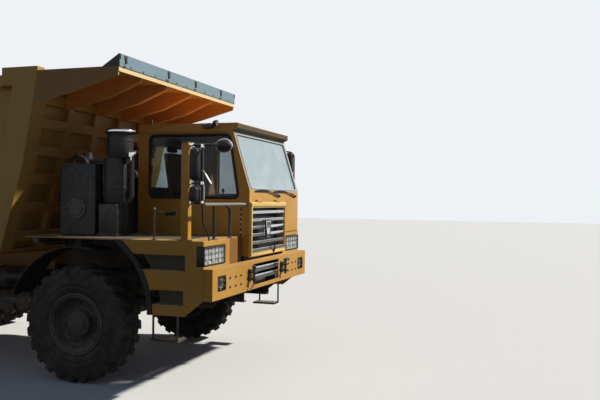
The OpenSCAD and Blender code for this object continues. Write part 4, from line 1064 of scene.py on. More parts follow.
radiator_fins = core_fins("radiator_fins")
core = slab((0.2005, 0.192), (-0.300, 0.855), (1.210, 2.020), 0.003)
bars = [slab((0.200, 0.182), (y, y + 0.030), (1.200, 2.030), 0.004) for y in (-0.312, 0.838)]
bars += [slab((0.200, 0.182), (-0.300, 0.850), (z, z + 0.028), 0.004)
         for z in (1.200, 1.600, 2.004)]
settle(core, "radiator_core", "dark_paint", radiator_fins)
settle(bars, "radiator_frame", "dark_paint", dark_paint)
print("radiator core set")

# %% [markdown]
# The grille bars are rounded wide. On the flap sit a shield with an empty field, a thin border,
# a padded surround, two hinge covers and the latch.

# %% Grille bars and blank shield
rounded_panel("grille_bars", "chrome", chrome, width=0.007, segments=3)


def shield(width, foot, height, thick, centre):
    """A plain shield, wide at the top, with a raised rim and a smooth field."""
    piece = block((-thick / 2, -width / 2, -height / 2), (thick / 2, width / 2, height / 2), 0)
    for v in piece.data.vertices:
        if v.co.z < 0:
            v.co.y *= foot / width
    let_in(piece, lambda f: f.normal.x > 0.9, (0.014, 0), (0.006, -thick * 0.35))
    bevel = piece.modifiers.new("round", "BEVEL")
    bevel.width, bevel.segments, bevel.limit_method = thick * 0.22, 2, "ANGLE"
    apply_all(piece)
    piece.data.transform(Matrix.Translation(centre))
    return piece


settle(shield(0.220, 0.140, 0.240, 0.016, at(0.058, 0.195, 1.775)), "blank_shield", "chrome",
       black_iron, body="flap")
settle(shield(0.176, 0.104, 0.184, 0.006, at(0.0530, 0.195, 1.787)), "shield_field", "chrome",
       chrome, body="flap")
# Border and surround share the flap's paler coat, part painted sunlight.
border = [slab((0.0705, 0.0655), (y, y + 0.012), (1.478, 2.062), 0.002) for y in (-0.350, 0.888)]
border += [slab((0.0705, 0.0655), (-0.348, 0.898), (z, z + 0.012), 0.002) for z in (1.476, 2.054)]
settle(border, "grille_border", "yellow_paint", faded_paint, body="flap")
surround = [slab((0.0725, 0.054), (-0.392, 0.912), (2.068, 2.122), 0.014, 4),
            slab((0.0725, 0.057), (-0.392, -0.354), (1.446, 2.080), 0.012, 4),
            slab((0.0725, 0.060), (0.902, 0.918), (1.446, 2.080), 0.006, 3),
            slab((0.0725, 0.060), (-0.392, 0.918), (1.442, 1.472), 0.009, 3)]
settle(surround, "grille_surround", "yellow_paint", faded_paint, body="flap")
covers = [slab((0.0845, 0.070), (y - 0.045, y + 0.105), (2.124, 2.166), 0.006, 3)
          for y in (-0.120, 0.580)]
settle(covers, "hinge_covers", "yellow_paint", yellow_paint, body="flap")
latch = [slab((0.0705, 0.050), (0.395, 0.445), (1.452, 1.500)),
         pipe([(0.052, 0.420, 1.472), (0.040, 0.424, 1.505), (0.052, 0.440, 1.585)], 0.010, 0.03)]
settle(latch, "flap_latch", "black_plastic", black_plastic, body="flap")
print("grille dressed")

# %% [markdown]
# Wipers: a spindle through the panel, an arm, and a blade of rubber held by a bridge. All of it
# lies on the foot of the screen.

# %% Wipers
for k, pivot in enumerate((0.700, 1.400)):
    x = behind(0.086)
    low, high = pivot - 0.890, pivot - 0.385
    arm = [tube([(x + 0.004, pivot, 2.212), (x + 0.006, pivot - 0.06, 2.226),
                 (x + 0.001, pivot - 0.500, 2.284)], 0.0075, 0.03),
           tube([(x + 0.008, pivot - 0.03, 2.222), (x + 0.008, pivot - 0.20, 2.248)], 0.0105),
           spun([(0.0, 0.018), (0.012, 0.017), (0.017, 0.008), (0.017, -0.012), (0.0, -0.012)],
                (x, pivot, 2.210), "X", 24),
           tube([(x + 0.001, low + 0.10, 2.280), (x + 0.006, (low + high) / 2, 2.286),
                 (x + 0.001, high - 0.10, 2.280)], 0.006, 0.04)]
    blade = block((x - 0.006, low, 2.262), (x + 0.003, high, 2.281), 0.003)
    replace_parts(settle(arm, "wiper_arm_%d" % (k + 1), "dark_paint", black_iron), "wipers")
    settle(blade, "wiper_blade_%d" % (k + 1), "rubber", seal_rubber)
print("wipers laid")

# %% [markdown]
# ## Mirrors
# The right mirrors stand on their own square post, because a driver on the left sees nothing of
# that side. Two heads hang on a tube between three arms, and a round one looks down at the nose.
# Each head is a rounded shell with its pane let into the rear face.

# %% Mirror glass and shells
mirror_pane = bare_metal("mirror_pane", (0.72, 0.76, 0.80), 0.05, 4, 0.00002)


def mirror_head(name, low, high):
    shell = block(low, high, min(0.045, (high[0] - low[0]) * 0.45), 4)
    let_in(shell, lambda f: f.normal.x < -0.98 and f.area > 0.004, (0.008, 0), (0.003, -0.006))
    settle(shell, name, "black_plastic", black_plastic, mirror_pane)
    paint_faces(shell, 1, lambda c, n: n.x < -0.98 and c.x > low[0] + 0.002
                and low[2] + 0.02 < c.z < high[2] - 0.02)
    return shell


mirror_head("main_mirror", at(0.265, -1.735, 2.360), at(0.155, -1.540, 2.715))
mirror_head("wide_mirror", at(0.270, -1.735, 2.122), at(0.165, -1.560, 2.300))
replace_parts(mirror_head("left_mirror", at(0.345, 1.650, 2.550), at(0.225, 1.740, 2.880)), "mirrors")
print("mirror heads made")

# %% Post, arms and the round mirror
POST_X, POST_Y = behind(0.352), -1.595
TUBE_X, TUBE_Y = behind(0.145), -1.628
ARM_ZS = (2.112, 2.330)
post = [slab((0.397, 0.307), (-1.640, -1.550), (1.711, 2.780), 0.010, 3),
        slab((0.440, 0.265), (-1.640, -1.510), (1.700, 1.713), 0.003)]
settle(post, "mirror_post", "yellow_paint", yellow_paint)
cap = slab((0.395, 0.309), (-1.638, -1.552), (2.776, 2.790), 0.005)
settle(cap, "post_cap", "black_plastic", black_plastic)
bolts("post_bolts", [at(d, y, 1.712) for d in (0.285, 0.420) for y in (-1.615, -1.535)], (0, 0, 1),
      0.010)
arms = [tube([(POST_X, POST_Y, 2.750), at(0.20, -1.615, 2.752), at(0.02, -1.636, 2.750),
              at(-0.085, -1.640, 2.738)], 0.014, 0.05),
        tube([(TUBE_X, TUBE_Y, 2.752), (TUBE_X, TUBE_Y, 2.112)], 0.013)]
arms += [tube([(POST_X, POST_Y, z), (TUBE_X, TUBE_Y, z)], 0.012) for z in ARM_ZS]
settle(arms, "mirror_arms", "dark_paint", black_iron)
stays = [pipe([(0.117, -1.690, 2.470), (0.100, -1.650, 2.430), (0.036, -1.640, 2.325)], 0.011,
              0.03),
         tube([(TUBE_X + 0.022, TUBE_Y, 2.310), (TUBE_X + 0.022, TUBE_Y, 2.150)], 0.009)]
settle(stays, "mirror_stays", "steel", steel)


def clamp(centre, axis, radius, length):
    half = length / 2
    return spun([(radius * 0.6, -half), (radius, -half), (radius * 1.06, -half * 0.8),
                 (radius * 1.06, -half * 0.5), (radius * 0.9, -half * 0.4),
                 (radius * 0.9, half * 0.4), (radius * 1.06, half * 0.5),
                 (radius * 1.06, half * 0.8), (radius, half), (radius * 0.6, half)], centre, axis,
                24)


CLAMPS = [(at(0.295, -1.604, 2.751), "X", 0.024, 0.060),
          ((TUBE_X, TUBE_Y, 2.735), "Z", 0.020, 0.040),
          ((TUBE_X, TUBE_Y, 2.332), "Z", 0.020, 0.036),
          ((TUBE_X, TUBE_Y, 2.125), "Z", 0.019, 0.030),
          (at(0.297, -1.602, 2.330), "X", 0.020, 0.030),
          (at(0.297, -1.602, 2.112), "X", 0.020, 0.030)]
settle([clamp(*c) for c in CLAMPS], "mirror_clamps", "chrome", chrome)
ROUND_AT, FLAT_FROM = at(-0.100, -1.600, 2.738), 2.745
FLAT = (Matrix.Translation((0, 0, FLAT_FROM)) @ Matrix.Diagonal((1.0, 1.0, 0.78, 1.0))
        @ Matrix.Translation((0, 0, -FLAT_FROM)))
for name, slot, look_of, profile in (
        ("back", "black_plastic", black_plastic,
         [(0.0, 0.078), (0.030, 0.075), (0.062, 0.060), (0.084, 0.036), (0.092, 0.012),
          (0.094, 0.002), (0.0, 0.002)]),
        ("rim", "chrome", chrome,
         [(0.090, -0.004), (0.097, -0.003), (0.099, 0.003), (0.097, 0.010), (0.091, 0.011),
          (0.088, 0.003), (0.090, -0.004)]),
        ("pane", "chrome", mirror_pane,
         [(0.0, -0.001), (0.045, 0.0), (0.089, 0.003), (0.089, 0.006), (0.0, 0.004)])):
    piece = spun(profile, ROUND_AT, "-Y", 48)
    piece.data.transform(FLAT)
    settle(piece, "round_mirror_" + name, slot, look_of)
left_arms = [pipe([(0.370, 1.590, 2.330), (0.290, 1.690, 2.330), (0.215, 1.720, 2.370),
                   (0.215, 1.720, 2.860), (0.290, 1.690, 2.900), (0.370, 1.590, 2.890)], 0.012,
                  0.06)]
left_arms += [slab((0.410, 0.330), (1.575, 1.597), (z, z + 0.080), 0.005) for z in (2.290, 2.850)]
settle(left_arms, "left_mirror_arms", "dark_paint", black_iron)
print("mirrors built")

# %% [markdown]
# A black lead runs slack from the mirrors down to the deck. Its ends are fixed, so it is a hanging
# line with a little spare length.

# %% Mirror lead
lead = tube([(TUBE_X, TUBE_Y, 2.10), (TUBE_X + 0.004, TUBE_Y + 0.01, 2.02), at(0.165, -1.570, 1.90),
             at(0.125, -1.505, 1.78), at(0.120, -1.495, 1.70)], 0.0085, 0.05)
settle(lead, "mirror_lead", "rubber", seal_rubber)
print("lead hung")

# %% [markdown]
# ## Rails on the deck
# The front rail is a long grey tube from the cab's corner. Below it a darker hoop, bent from one
# length, carries it, and a thin post with a slack chain closes the way to the air cleaner.

# %% Handrails
RAIL_D, RAIL_Z = 0.150, 2.100
CHAIN_D, CHAIN_Y = 0.743, -1.600
grey_rail = weathered_paint("rail_paint", (0.26, 0.255, 0.235), gloss=0.45, chip=0.72)
rail = [pipe([(RAIL_D, y, RAIL_Z) for y in (-1.570, -0.430, -0.3665)], 0.0195, 0),
        spun([(0.0, -0.006), (0.026, -0.006), (0.030, 0.0), (0.026, 0.010), (0.0, 0.010)],
             at(RAIL_D, -0.372, RAIL_Z), "Y", 24)]
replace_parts(settle(rail, "front_rail", "steel", grey_rail), "handrails")
hoop = [pipe([(RAIL_D, -1.305, DECK_Z), (RAIL_D, -1.305, 2.085)], 0.016),
        pipe([(RAIL_D, -0.860, DECK_Z), (RAIL_D, -0.860, 2.020), (RAIL_D, -0.885, 2.062),
              (RAIL_D, -0.960, 2.084)], 0.016, 0.03)]
hoop += [spun([(0.0, 0.0), (0.040, 0.0), (0.040, 0.006), (0.020, 0.012), (0.0, 0.012)],
              at(RAIL_D, y, DECK_Z), "Z", 24) for y in (-1.305, -0.860)]
settle(hoop, "rail_hoop", "dark_paint", dark_paint)
post = [pipe([(CHAIN_D, CHAIN_Y, DECK_Z), (CHAIN_D, CHAIN_Y, 2.040)], 0.011),
        spun([(0.0, 0.0), (0.032, 0.0), (0.032, 0.005), (0.014, 0.010), (0.0, 0.010)],
             at(CHAIN_D, CHAIN_Y, DECK_Z), "Z", 20)]
settle(post, "chain_post", "dark_paint", black_iron)
knob = spun([(0.0, 0.012), (0.012, 0.010), (0.017, 0.0), (0.012, -0.010), (0.0, -0.012)],
            at(CHAIN_D, CHAIN_Y, 2.046), "Z", 20)
settle(knob, "post_knobs", "steel", grey_rail)


def chain(a, b, drop, link_length, wire):
    """Links modelled once and set along a hanging line, each turned a quarter from the last."""
    line = sag(a, b, drop, 40)
    total = sum((p - q).length for p, q in zip(line, line[1:]))
    count = int(total / (link_length * 0.78))
    bent_link = tube([(-link_length / 2 + wire, 0, 0), (-link_length * 0.3, wire * 1.6, 0),
                      (link_length * 0.3, wire * 1.6, 0), (link_length / 2 - wire, 0, 0),
                      (link_length * 0.3, -wire * 1.6, 0), (-link_length * 0.3, -wire * 1.6, 0),
                      (-link_length / 2 + wire, 0, 0)], wire, 0, 1)
    places, done, k = [], 0.0, 0
    for p, q in zip(line, line[1:]):
        step = (q - p).length
        while k < count and done + step >= (k + 0.5) * total / count:
            t = ((k + 0.5) * total / count - done) / step
            turn = (q - p).to_track_quat("X", "Z").to_matrix().to_4x4()
            places.append(Matrix.Translation(p.lerp(q, t)) @ turn
                          @ Matrix.Rotation(math.pi / 2 * (k % 2), 4, "X"))
            k += 1
        done += step
    return copies(bent_link, places)


settle(chain(at(CHAIN_D, CHAIN_Y, 2.030), at(0.400, CHAIN_Y, 2.060), 0.035, 0.036, 0.0035),
       "rail_chain", "steel", black_iron)
print("rails and chain set")

# %% [markdown]
# ## Inside the cab
# A cushion is a crowned closed form whose sides pull in between its corners. It could be sculpted
# by hand, but a cloth simulation with air pressure inside finds that form by itself. A rounded
# block is remeshed to even faces, blown up, and held so that no point moves too far. The sewn
# channels are pressed in afterwards.

# %% Cushions
CLOTH_FRAMES = 20


def stuffed(low, high, corner, swell):
    inside = 0.006
    piece = block([a + inside for a in low], [b - inside for b in high], corner, 3)
    even = piece.modifiers.new("even faces", "REMESH")
    even.mode, even.voxel_size, even.use_smooth_shade = "VOXEL", 0.013, True
    apply_all(piece)
    start = [v.co.copy() for v in piece.data.vertices]
    only(piece)
    air = piece.modifiers.new("air", "CLOTH")
    air.settings.quality = 4
    air.settings.use_pressure = True
    air.settings.uniform_pressure_force = 4
    air.settings.effector_weights.gravity = 0
    air.point_cache.frame_start, air.point_cache.frame_end = 1, CLOTH_FRAMES
    for number in range(1, CLOTH_FRAMES + 1):
        bpy.context.scene.frame_set(number)
    ops.object.modifier_apply(modifier=air.name)
    for v, was in zip(piece.data.vertices, start):
        move = v.co - was
        if move.length > swell:
            v.co = was + move.normalized() * swell
    bpy.context.scene.frame_set(1)
    smooth = piece.modifiers.new("smooth", "SUBSURF")
    smooth.levels = smooth.render_levels = 1
    apply_all(piece)
    return piece


def press(piece, axis, outward, seams, depth=0.011, width=0.010):
    """Presses sewn channels into the side that faces outward along axis."""
    for v in piece.data.vertices:
        if v.co[axis] * outward <= 0:
            continue
        for across, place in seams:
            gap = (v.co[across] - place) / width
            v.co[axis] -= outward * depth * math.exp(-gap * gap)


def piping(corners, radius, corner):
    first = (Vector(corners[0]) + Vector(corners[-1])) / 2
    return tube([first] + list(corners) + [first], radius, corner)


LEAN_BACK = Matrix.Translation(at(1.428, 0, 2.505)) @ Matrix.Rotation(-0.158, 4, "Y")
for side, y in (("right", 0.18), ("left", 1.13)):
    shift = Matrix.Translation((0, y, 0))
    back = stuffed((-0.043, -0.230, -0.315), (0.043, 0.230, 0.290), 0.030, 0.008)
    press(back, 0, 1, [(2, -0.17), (2, -0.02), (2, 0.13), (1, -0.150), (1, 0.150)])
    seam = piping([(0.040, -0.205, -0.29), (0.040, 0.205, -0.29), (0.040, 0.205, 0.268),
                   (0.040, -0.205, 0.268)], 0.005, 0.05)
    for piece in (back, seam):
        piece.data.transform(shift @ LEAN_BACK)
    settle(back, "seat_back_" + side, "seat_cloth", tan_cloth, smooth=60)
    settle(seam, "seat_piping_" + side, "seat_cloth", dark_cloth)
    rest = stuffed((-0.038, -0.130, 0.285), (0.034, 0.130, 0.372), 0.025, 0.006)
    rest.data.transform(shift @ LEAN_BACK)
    settle(rest, "head_rest_" + side, "seat_cloth", dark_cloth, smooth=60)
    base = stuffed((-0.240, -0.240, -0.062), (0.240, 0.240, 0.062), 0.034, 0.009)
    press(base, 2, 1, [(0, -0.10), (0, 0.03), (0, 0.16), (1, -0.155), (1, 0.155)])
    base.data.transform(Matrix.Translation(at(1.20, y, 2.128)))
    settle(base, "seat_base_" + side, "seat_cloth", tan_cloth, smooth=60)
    for piece in (back, rest, base):
        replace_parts(piece, "seats")
    folds = [slab((1.33 - 0.012 * (i % 2), 1.13 + 0.012 * (i % 2)),
                  (y - 0.11 + 0.012 * (i % 2), y + 0.11 - 0.012 * (i % 2)),
                  (1.79 + 0.045 * i, 1.835 + 0.045 * i), 0.012, 2) for i in range(5)]
    folds.append(slab((1.36, 1.10), (y - 0.14, y + 0.14), (1.742, 1.79), 0.008))
    folds.append(slab((1.41, 1.00), (y - 0.20, y + 0.20), (2.010, 2.062), 0.015))
    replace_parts(settle(folds, "seat_stand_" + side, "black_plastic", black_plastic), "seats")
print("seats made,", len(back.data.polygons), "faces in a seat's back")

# %% [markdown]
# The steering wheel lies flat, as in all such trucks. Rim and hub are spun, the spokes are bent
# tubes, and the column wears a plastic cowl.

# %% Steering wheel
TILT = Matrix.Translation(at(0.6937, 1.130, 2.3606)) @ Matrix.Rotation(math.radians(-33.69), 4, "Y")
ring = [(0.215 + 0.015 * math.cos(a), 0.013 * math.sin(a))
        for a in (math.tau * i / 12 for i in range(13))]
wheel = [spun(ring, (0, 0, 0), "Z", 64),
         spun([(0.0, 0.018), (0.030, 0.016), (0.048, 0.006), (0.050, -0.020), (0.030, -0.050),
               (0.030, -0.110), (0.0, -0.110)], (0, 0, 0), "Z", 32)]
for a in (0.5, 2.64, 4.71):
    way = Vector((math.cos(a), math.sin(a), 0))
    wheel.append(tube([way * 0.03 + Vector((0, 0, -0.012)), way * 0.12 + Vector((0, 0, -0.022)),
                       way * 0.21], 0.009, 0.05))
for piece in wheel:
    piece.data.transform(TILT)
cowl = pipe([(0.640, 1.130, 2.280), (0.560, 1.130, 2.160)], 0.042)
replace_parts(settle(wheel + [cowl], "driver_wheel", "black_plastic", black_plastic),
            "steering_wheel")
cluster = [slab((0.505, 0.395), (0.930, 1.330), (2.225, 2.305), 0.022, 3),
           slab((0.560, 0.440), (0.500, 0.700), (2.226, 2.250), 0.008)]
vents = [slab((0.30, 0.26), (y, y + 0.22), (2.228, 2.236), 0.003)
         for y in (-0.20, 0.12, 0.44, 0.76, 1.08)]
settle(cluster + vents, "dial_hood", "black_plastic", black_plastic)
levers = [pipe([(0.98, 0.640, 1.745), (0.93, 0.655, 2.10), (0.92, 0.655, 2.26)], 0.011, 0.06),
          spun([(0.0, 0.036), (0.018, 0.030), (0.024, 0.010), (0.016, -0.014), (0.0, -0.016)],
               at(0.92, 0.655, 2.275), "Z", 20),
          spun([(0.060, 0.0), (0.050, 0.030), (0.022, 0.060), (0.0, 0.062)], at(0.98, 0.640, 1.742),
               "Z", 24)]
settle(levers, "gear_lever", "black_plastic", black_plastic)
print("driver's place made")

# %% [markdown]
# ## Outside of the cab
# The right wall of the cab is a plain sheet with one riveted joint near the nose and a pressed
# slot behind. Rivets are shallow domes, modelled once.

# %% Riveted joint, slot and rain rail
SIDE_Y = -0.365
JOINT_X, RIVETS, RIVET_PITCH = 3.966, 10, 0.064
seam = block((JOINT_X - 0.008, SIDE_Y - 0.003, 1.460), (JOINT_X + 0.008, SIDE_Y + 0.002, 2.085),
             0.001)
settle(seam, "wall_seam", "black_plastic", seal_rubber)
dome = spun([(0.010, 0.0), (0.009, 0.003), (0.005, 0.005), (0.0, 0.0055)], (0, 0, 0), "Z", 12)
rivets = copies(dome, [facing((JOINT_X, SIDE_Y - 0.0028, 1.490 + RIVET_PITCH * i), (0, -1, 0))
                       for i in range(RIVETS)])
settle(rivets, "wall_rivets", "steel", steel)
slot = block((2.880, SIDE_Y - 0.004, 1.925), (3.065, SIDE_Y + 0.002, 2.015), 0.003)
let_in(slot, lambda f: f.normal.y < -0.98, (0.010, 0), (0.002, -0.003))
settle(slot, "wall_slot", "yellow_paint", yellow_paint, seal_rubber)
paint_faces(slot, 1, lambda c, n: n.y < -0.98 and c.y > SIDE_Y - 0.003)
rail = [pipe([(0.400, SIDE_Y - 0.006, 3.020), (1.680, SIDE_Y - 0.006, 3.020)], 0.008),
        pipe([(0.400, 1.621, 3.060), (1.680, 1.621, 3.060)], 0.008)]
settle(rail, "rain_rails", "yellow_paint", yellow_paint)
ridges = [slab((1.60, 0.50), (y, y + 0.05), (3.126, 3.140)) for y in (0.05, 0.42, 0.79, 1.16)]
hatch = slab((1.25, 0.80), (0.52, 1.10), (3.128, 3.160), 0.014, 3)
settle(ridges + [hatch], "roof_ridges", "yellow_paint", yellow_paint)
print("cab walls and roof dressed")

# %% Door furniture
handle = [slab((1.345, 1.235), (1.622, 1.632), (1.985, 2.055), 0.004),
          pipe([(1.330, 1.628, 2.020), (1.325, 1.652, 2.022), (1.250, 1.652, 2.022),
                (1.245, 1.628, 2.020)], 0.009, 0.015)]
settle(handle, "door_handle", "black_plastic", black_plastic, body="door")
pull = pipe([(1.38, 1.532, 2.12), (1.38, 1.500, 2.14), (1.20, 1.500, 2.14), (1.20, 1.532, 2.12)],
            0.010, 0.02)
settle(pull, "door_pull", "black_plastic", black_plastic, body="door")
grab = pipe([(1.56, 1.615, 1.86), (1.56, 1.668, 1.88), (1.56, 1.668, 2.66), (1.56, 1.615, 2.68)],
            0.014, 0.03)
settle(grab, "door_grab_rail", "dark_paint", black_iron)
print("door dressed")

# %% [markdown]
# Two lamps hang at the roof's edge: a flat bar, and a round one on a swivel.

# %% Roof lamps
SWIVEL = Vector(at(0.532, -0.411, 3.120))
bar = [slab((0.742, 0.603), (-0.408, -0.368), (3.058, 3.112), 0.008, 3),
       pipe([(0.70, -0.385, 3.112), (0.66, -0.380, 3.128), (0.62, -0.385, 3.112)], 0.007, 0.02)]
shell = spun([(0.0, 0.062), (0.020, 0.060), (0.036, 0.045), (0.043, 0.020), (0.044, 0.0),
              (0.040, 0.0), (0.037, 0.012), (0.0, 0.013)], SWIVEL, "X", 32)
shell.data.transform(Matrix.Translation(SWIVEL) @ Matrix.Rotation(math.pi, 4, "Z")
                     @ Matrix.Translation(-SWIVEL))
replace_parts(settle(bar + [shell], "roof_lamp_shells", "dark_paint", black_iron), "roof_lamps")
pane = spun([(0.0, 0.004), (0.024, 0.003), (0.038, 0.0), (0.0, -0.001)], at(0.534, -0.411, 3.120),
            "X", 32)
settle(pane, "roof_lamp_pane", "lamp", lamp_glass)
rear = slab((1.526, 1.494), (-0.352, -0.324), (3.132, 3.192), 0.008, 3)
settle(rear, "rear_roof_lamp", "dark_paint", black_iron)
print("roof lamps hung")

# %% [markdown]
# ## Behind the cab
# The air cleaner is a can in a can, with a rain cap on top. All of it is spun. A bright clamp
# holds the hose that leaves it towards the cab.

# %% Air cleaner
can_paint = bare_metal("can_paint", (0.030, 0.033, 0.036), 0.42, 60, 0.0002, (0.05, 0.048, 0.045),
                       metallic=0.1)
can_paint.node_tree.nodes["Principled BSDF"].inputs["Specular IOR Level"].default_value = 0.3
CAN_X, CAN_Y = behind(1.5), -1.10
can = [spun([(0.0, 3.0), (0.120, 3.0), (0.172, 2.990), (0.183, 2.976), (0.183, 2.952),
             (0.166, 2.938), (0.158, 2.915), (0.158, 2.870), (0.161, 2.866), (0.161, 2.846),
             (0.158, 2.842), (0.158, 2.664), (0.148, 2.642), (0.0, 2.642)], (CAN_X, CAN_Y, 0), "Z",
            64),
       spun([(0.0, 2.645), (0.134, 2.645), (0.134, 2.30), (0.138, 2.295), (0.138, 2.265),
             (0.134, 2.26), (0.134, 2.13), (0.120, 2.095), (0.0, 2.08)], at(1.565, CAN_Y, 0), "Z",
            64),
       slab((1.715, 1.455), (-1.235, -0.965), (1.702, 2.092), 0.02, 3),
       slab((1.728, 1.442), (-1.248, -0.952), (1.702, 1.730), 0.004)]
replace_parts(settle(can, "air_can", "dark_paint", can_paint), "air_cleaner")
rim = spun([(0.183, 2.977), (0.186, 2.972), (0.186, 2.956), (0.183, 2.950)], (CAN_X, CAN_Y, 0), "Z",
           64)
clamps = [rim,
          spun([(0.0, 0.036), (0.030, 0.034), (0.044, 0.020), (0.047, -0.024), (0.0, -0.026)],
               (2.850, -1.120, 2.682), "-Y", 32),
          block((2.848, -1.150, 2.600), (2.866, -1.130, 2.670), 0.005)]
settle(clamps, "can_clamps", "chrome", chrome)
duct = [tube([(2.836, -1.095, 2.680), (2.842, -1.095, 2.560), (2.842, -1.095, 2.150),
              (2.720, -1.100, 2.050)], 0.028, 0.05),
        tube([(2.490, -1.100, 2.560), (2.440, -1.120, 2.610), (2.330, -1.120, 2.612),
              (2.290, -1.120, 2.570)], 0.024, 0.04),
        tube([(2.230, -1.120, 2.570), (2.200, -1.120, 2.640), (2.090, -1.120, 2.690),
              (2.020, -1.110, 2.650), (2.010, -1.100, 2.575)], 0.024, 0.05)]
settle(duct, "intake_hoses", "rubber", can_paint)
print("air cleaner dressed")

# %% [markdown]
# The hydraulic tank is a welded box with soft corners. Its copy is rounded wide, and a cleaning
# cover, a filler, a breather and a sight glass are set on it. The silencer behind it is held by
# two bands, and a third one is on its tail pipe.

# %% Hydraulic tank and silencer
COVER_D, COVER_Z, FILLER_Z = 2.00, 2.030, 2.580
rounded_panel("hydraulic_tank", "dark_paint", can_paint, width=0.018, segments=3)
cover = [spun([(0.0, 0.022), (0.085, 0.022), (0.090, 0.014), (0.128, 0.014), (0.130, 0.008),
               (0.130, -0.002), (0.0, -0.002)], at(COVER_D, -1.250, COVER_Z), "-Y", 40),
         spun([(0.0, 0.060), (0.046, 0.058), (0.052, 0.046), (0.052, 0.020), (0.066, 0.018),
               (0.066, -0.002), (0.0, -0.002)], at(1.92, -1.02, FILLER_Z), "Z", 32),
         spun([(0.0, 0.150), (0.050, 0.150), (0.056, 0.140), (0.056, 0.030), (0.040, 0.020),
               (0.040, -0.002), (0.0, -0.002)], at(2.12, -0.86, FILLER_Z), "Z", 32)]
settle(cover, "tank_covers", "dark_paint", black_iron)
bolts("tank_cover_bolts", [(behind(COVER_D) + 0.108 * math.cos(a), -1.264,
                            COVER_Z + 0.108 * math.sin(a))
                           for a in (math.tau * i / 8 for i in range(8))], (0, -1, 0), 0.008,
      cast_iron)
gauge = slab((1.815, 1.785), (-1.262, -1.248), (2.150, 2.430), 0.004)
settle(gauge, "sight_glass", "glass", lamp_glass)
bands = [band(0.151, 0.020, at(2.12, y, 2.430), "Y", 48) for y in (-0.45, 0.10)]
bands.append(band(0.061, 0.015, at(2.12, 0.300, 2.820), "Z", 32))
settle(bands, "silencer_bands", "steel", steel)
exhaust = pipe([(2.36, 0.080, 1.580), (2.36, 0.080, 1.900), (2.20, 0.100, 2.100),
                (2.12, 0.110, 2.300)], 0.055, 0.12)
settle(exhaust, "exhaust_pipe", "cast_iron", cast_iron)
print("tank and silencer dressed")

# %% [markdown]
# ## Treads
# Checker plate is a sheet with rolled lozenges in two directions. One lozenge is a low block with
# a tapered top. It is copied over both decks in a chequered order. On the right deck, all but the
# front outer strip gets a thin dark sheet and dark lozenges, painted shade. The hanging steps have
# grip bars across.

# %% Checker plate
TREAD_PITCH = 0.046


def checker(name, distances, ys, z, look=yellow_paint):
    low, high = zip((behind(d) for d in distances), ys)
    one = block((-0.015, -0.0045, -0.0005), (0.015, 0.0045, 0.0028), 0)
    for v in one.data.vertices:
        if v.co.z > 0:
            v.co.x *= 0.7
            v.co.y *= 0.5
    spots = []
    for i in range(int((high[0] - low[0]) / TREAD_PITCH)):
        for j in range(int((high[1] - low[1]) / TREAD_PITCH)):
            place = (low[0] + (i + 0.5) * TREAD_PITCH, low[1] + (j + 0.5) * TREAD_PITCH, z)
            turn = math.pi / 4 if (i + j) % 2 else -math.pi / 4
            spots.append(Matrix.Translation(place) @ Matrix.Rotation(turn, 4, "Z"))
    return settle(copies(one, spots), name, "yellow_paint", look)


infill = slab((0.445, 0.206), (-0.945, -0.385), (1.6875, 1.6995), 0.003)
settle(infill, "deck_infill", "yellow_paint", yellow_paint)
# The right deck's dark sheets and dark lozenges below are painted shade.
SHADE_SHEET_FOOT, SHADE_SHEET_TOP = 1.6992, 1.7012
PAINTED_SHADE_AREAS = {"right_inner": ((1.74, 0.46), (-1.38, -0.40)),
        "right_outer": ((1.74, 1.02), (-1.650, -1.38)),
        "right_rear": ((2.44, 1.74), (-1.650, -1.27))}
checker("deck_tread_right", (1.02, 0.46), (-1.625, -1.38), DECK_Z)
for name, (ds, ys) in PAINTED_SHADE_AREAS.items():
    settle(slab(ds, ys, (SHADE_SHEET_FOOT, SHADE_SHEET_TOP), 0), "deck_coat_" + name, "yellow_paint",
           tread_paint)
    checker("deck_tread_" + name, ds, ys, SHADE_SHEET_TOP, tread_paint)
checker("deck_tread_left", (2.44, 0.46), (0.96, 1.625), DECK_Z)
for side, s in SIDES:
    ys = sorted((s * 1.45, s * 1.63))
    grips = [slab((0.412 + k, 0.404 + k), ys, (0.604, 0.612), 0.002, 1)
             for k in (0.030, 0.090, 0.150, 0.210, 0.270, 0.330)]
    settle(grips, "step_grip_" + side, "steel", steel)
print("treads laid")

# %% [markdown]
# Plates between deck and frame keep mud off the engine.

# %% Splash plates
plates = []
for d, ys, z in (((2.24, 1.10), (0.945, 0.955), 1.430), ((2.62, 1.62), (0.615, 0.625), 1.260)):
    plates += [slab(d, sorted((s * ys[0], s * ys[1])), (z, 1.686), 0.003) for s in (-1, 1)]
settle(plates, "splash_plates", "dark_paint", dark_paint)
print("splash plates hung")

# %% [markdown]
# ## Under the truck
# From below one sees axles, springs and the engine. Each plain solid keeps its place, and gets
# what makes it read true: covers and pipes on the engine, bolts that clamp the leaves, brake
# cans, straps round the tanks.

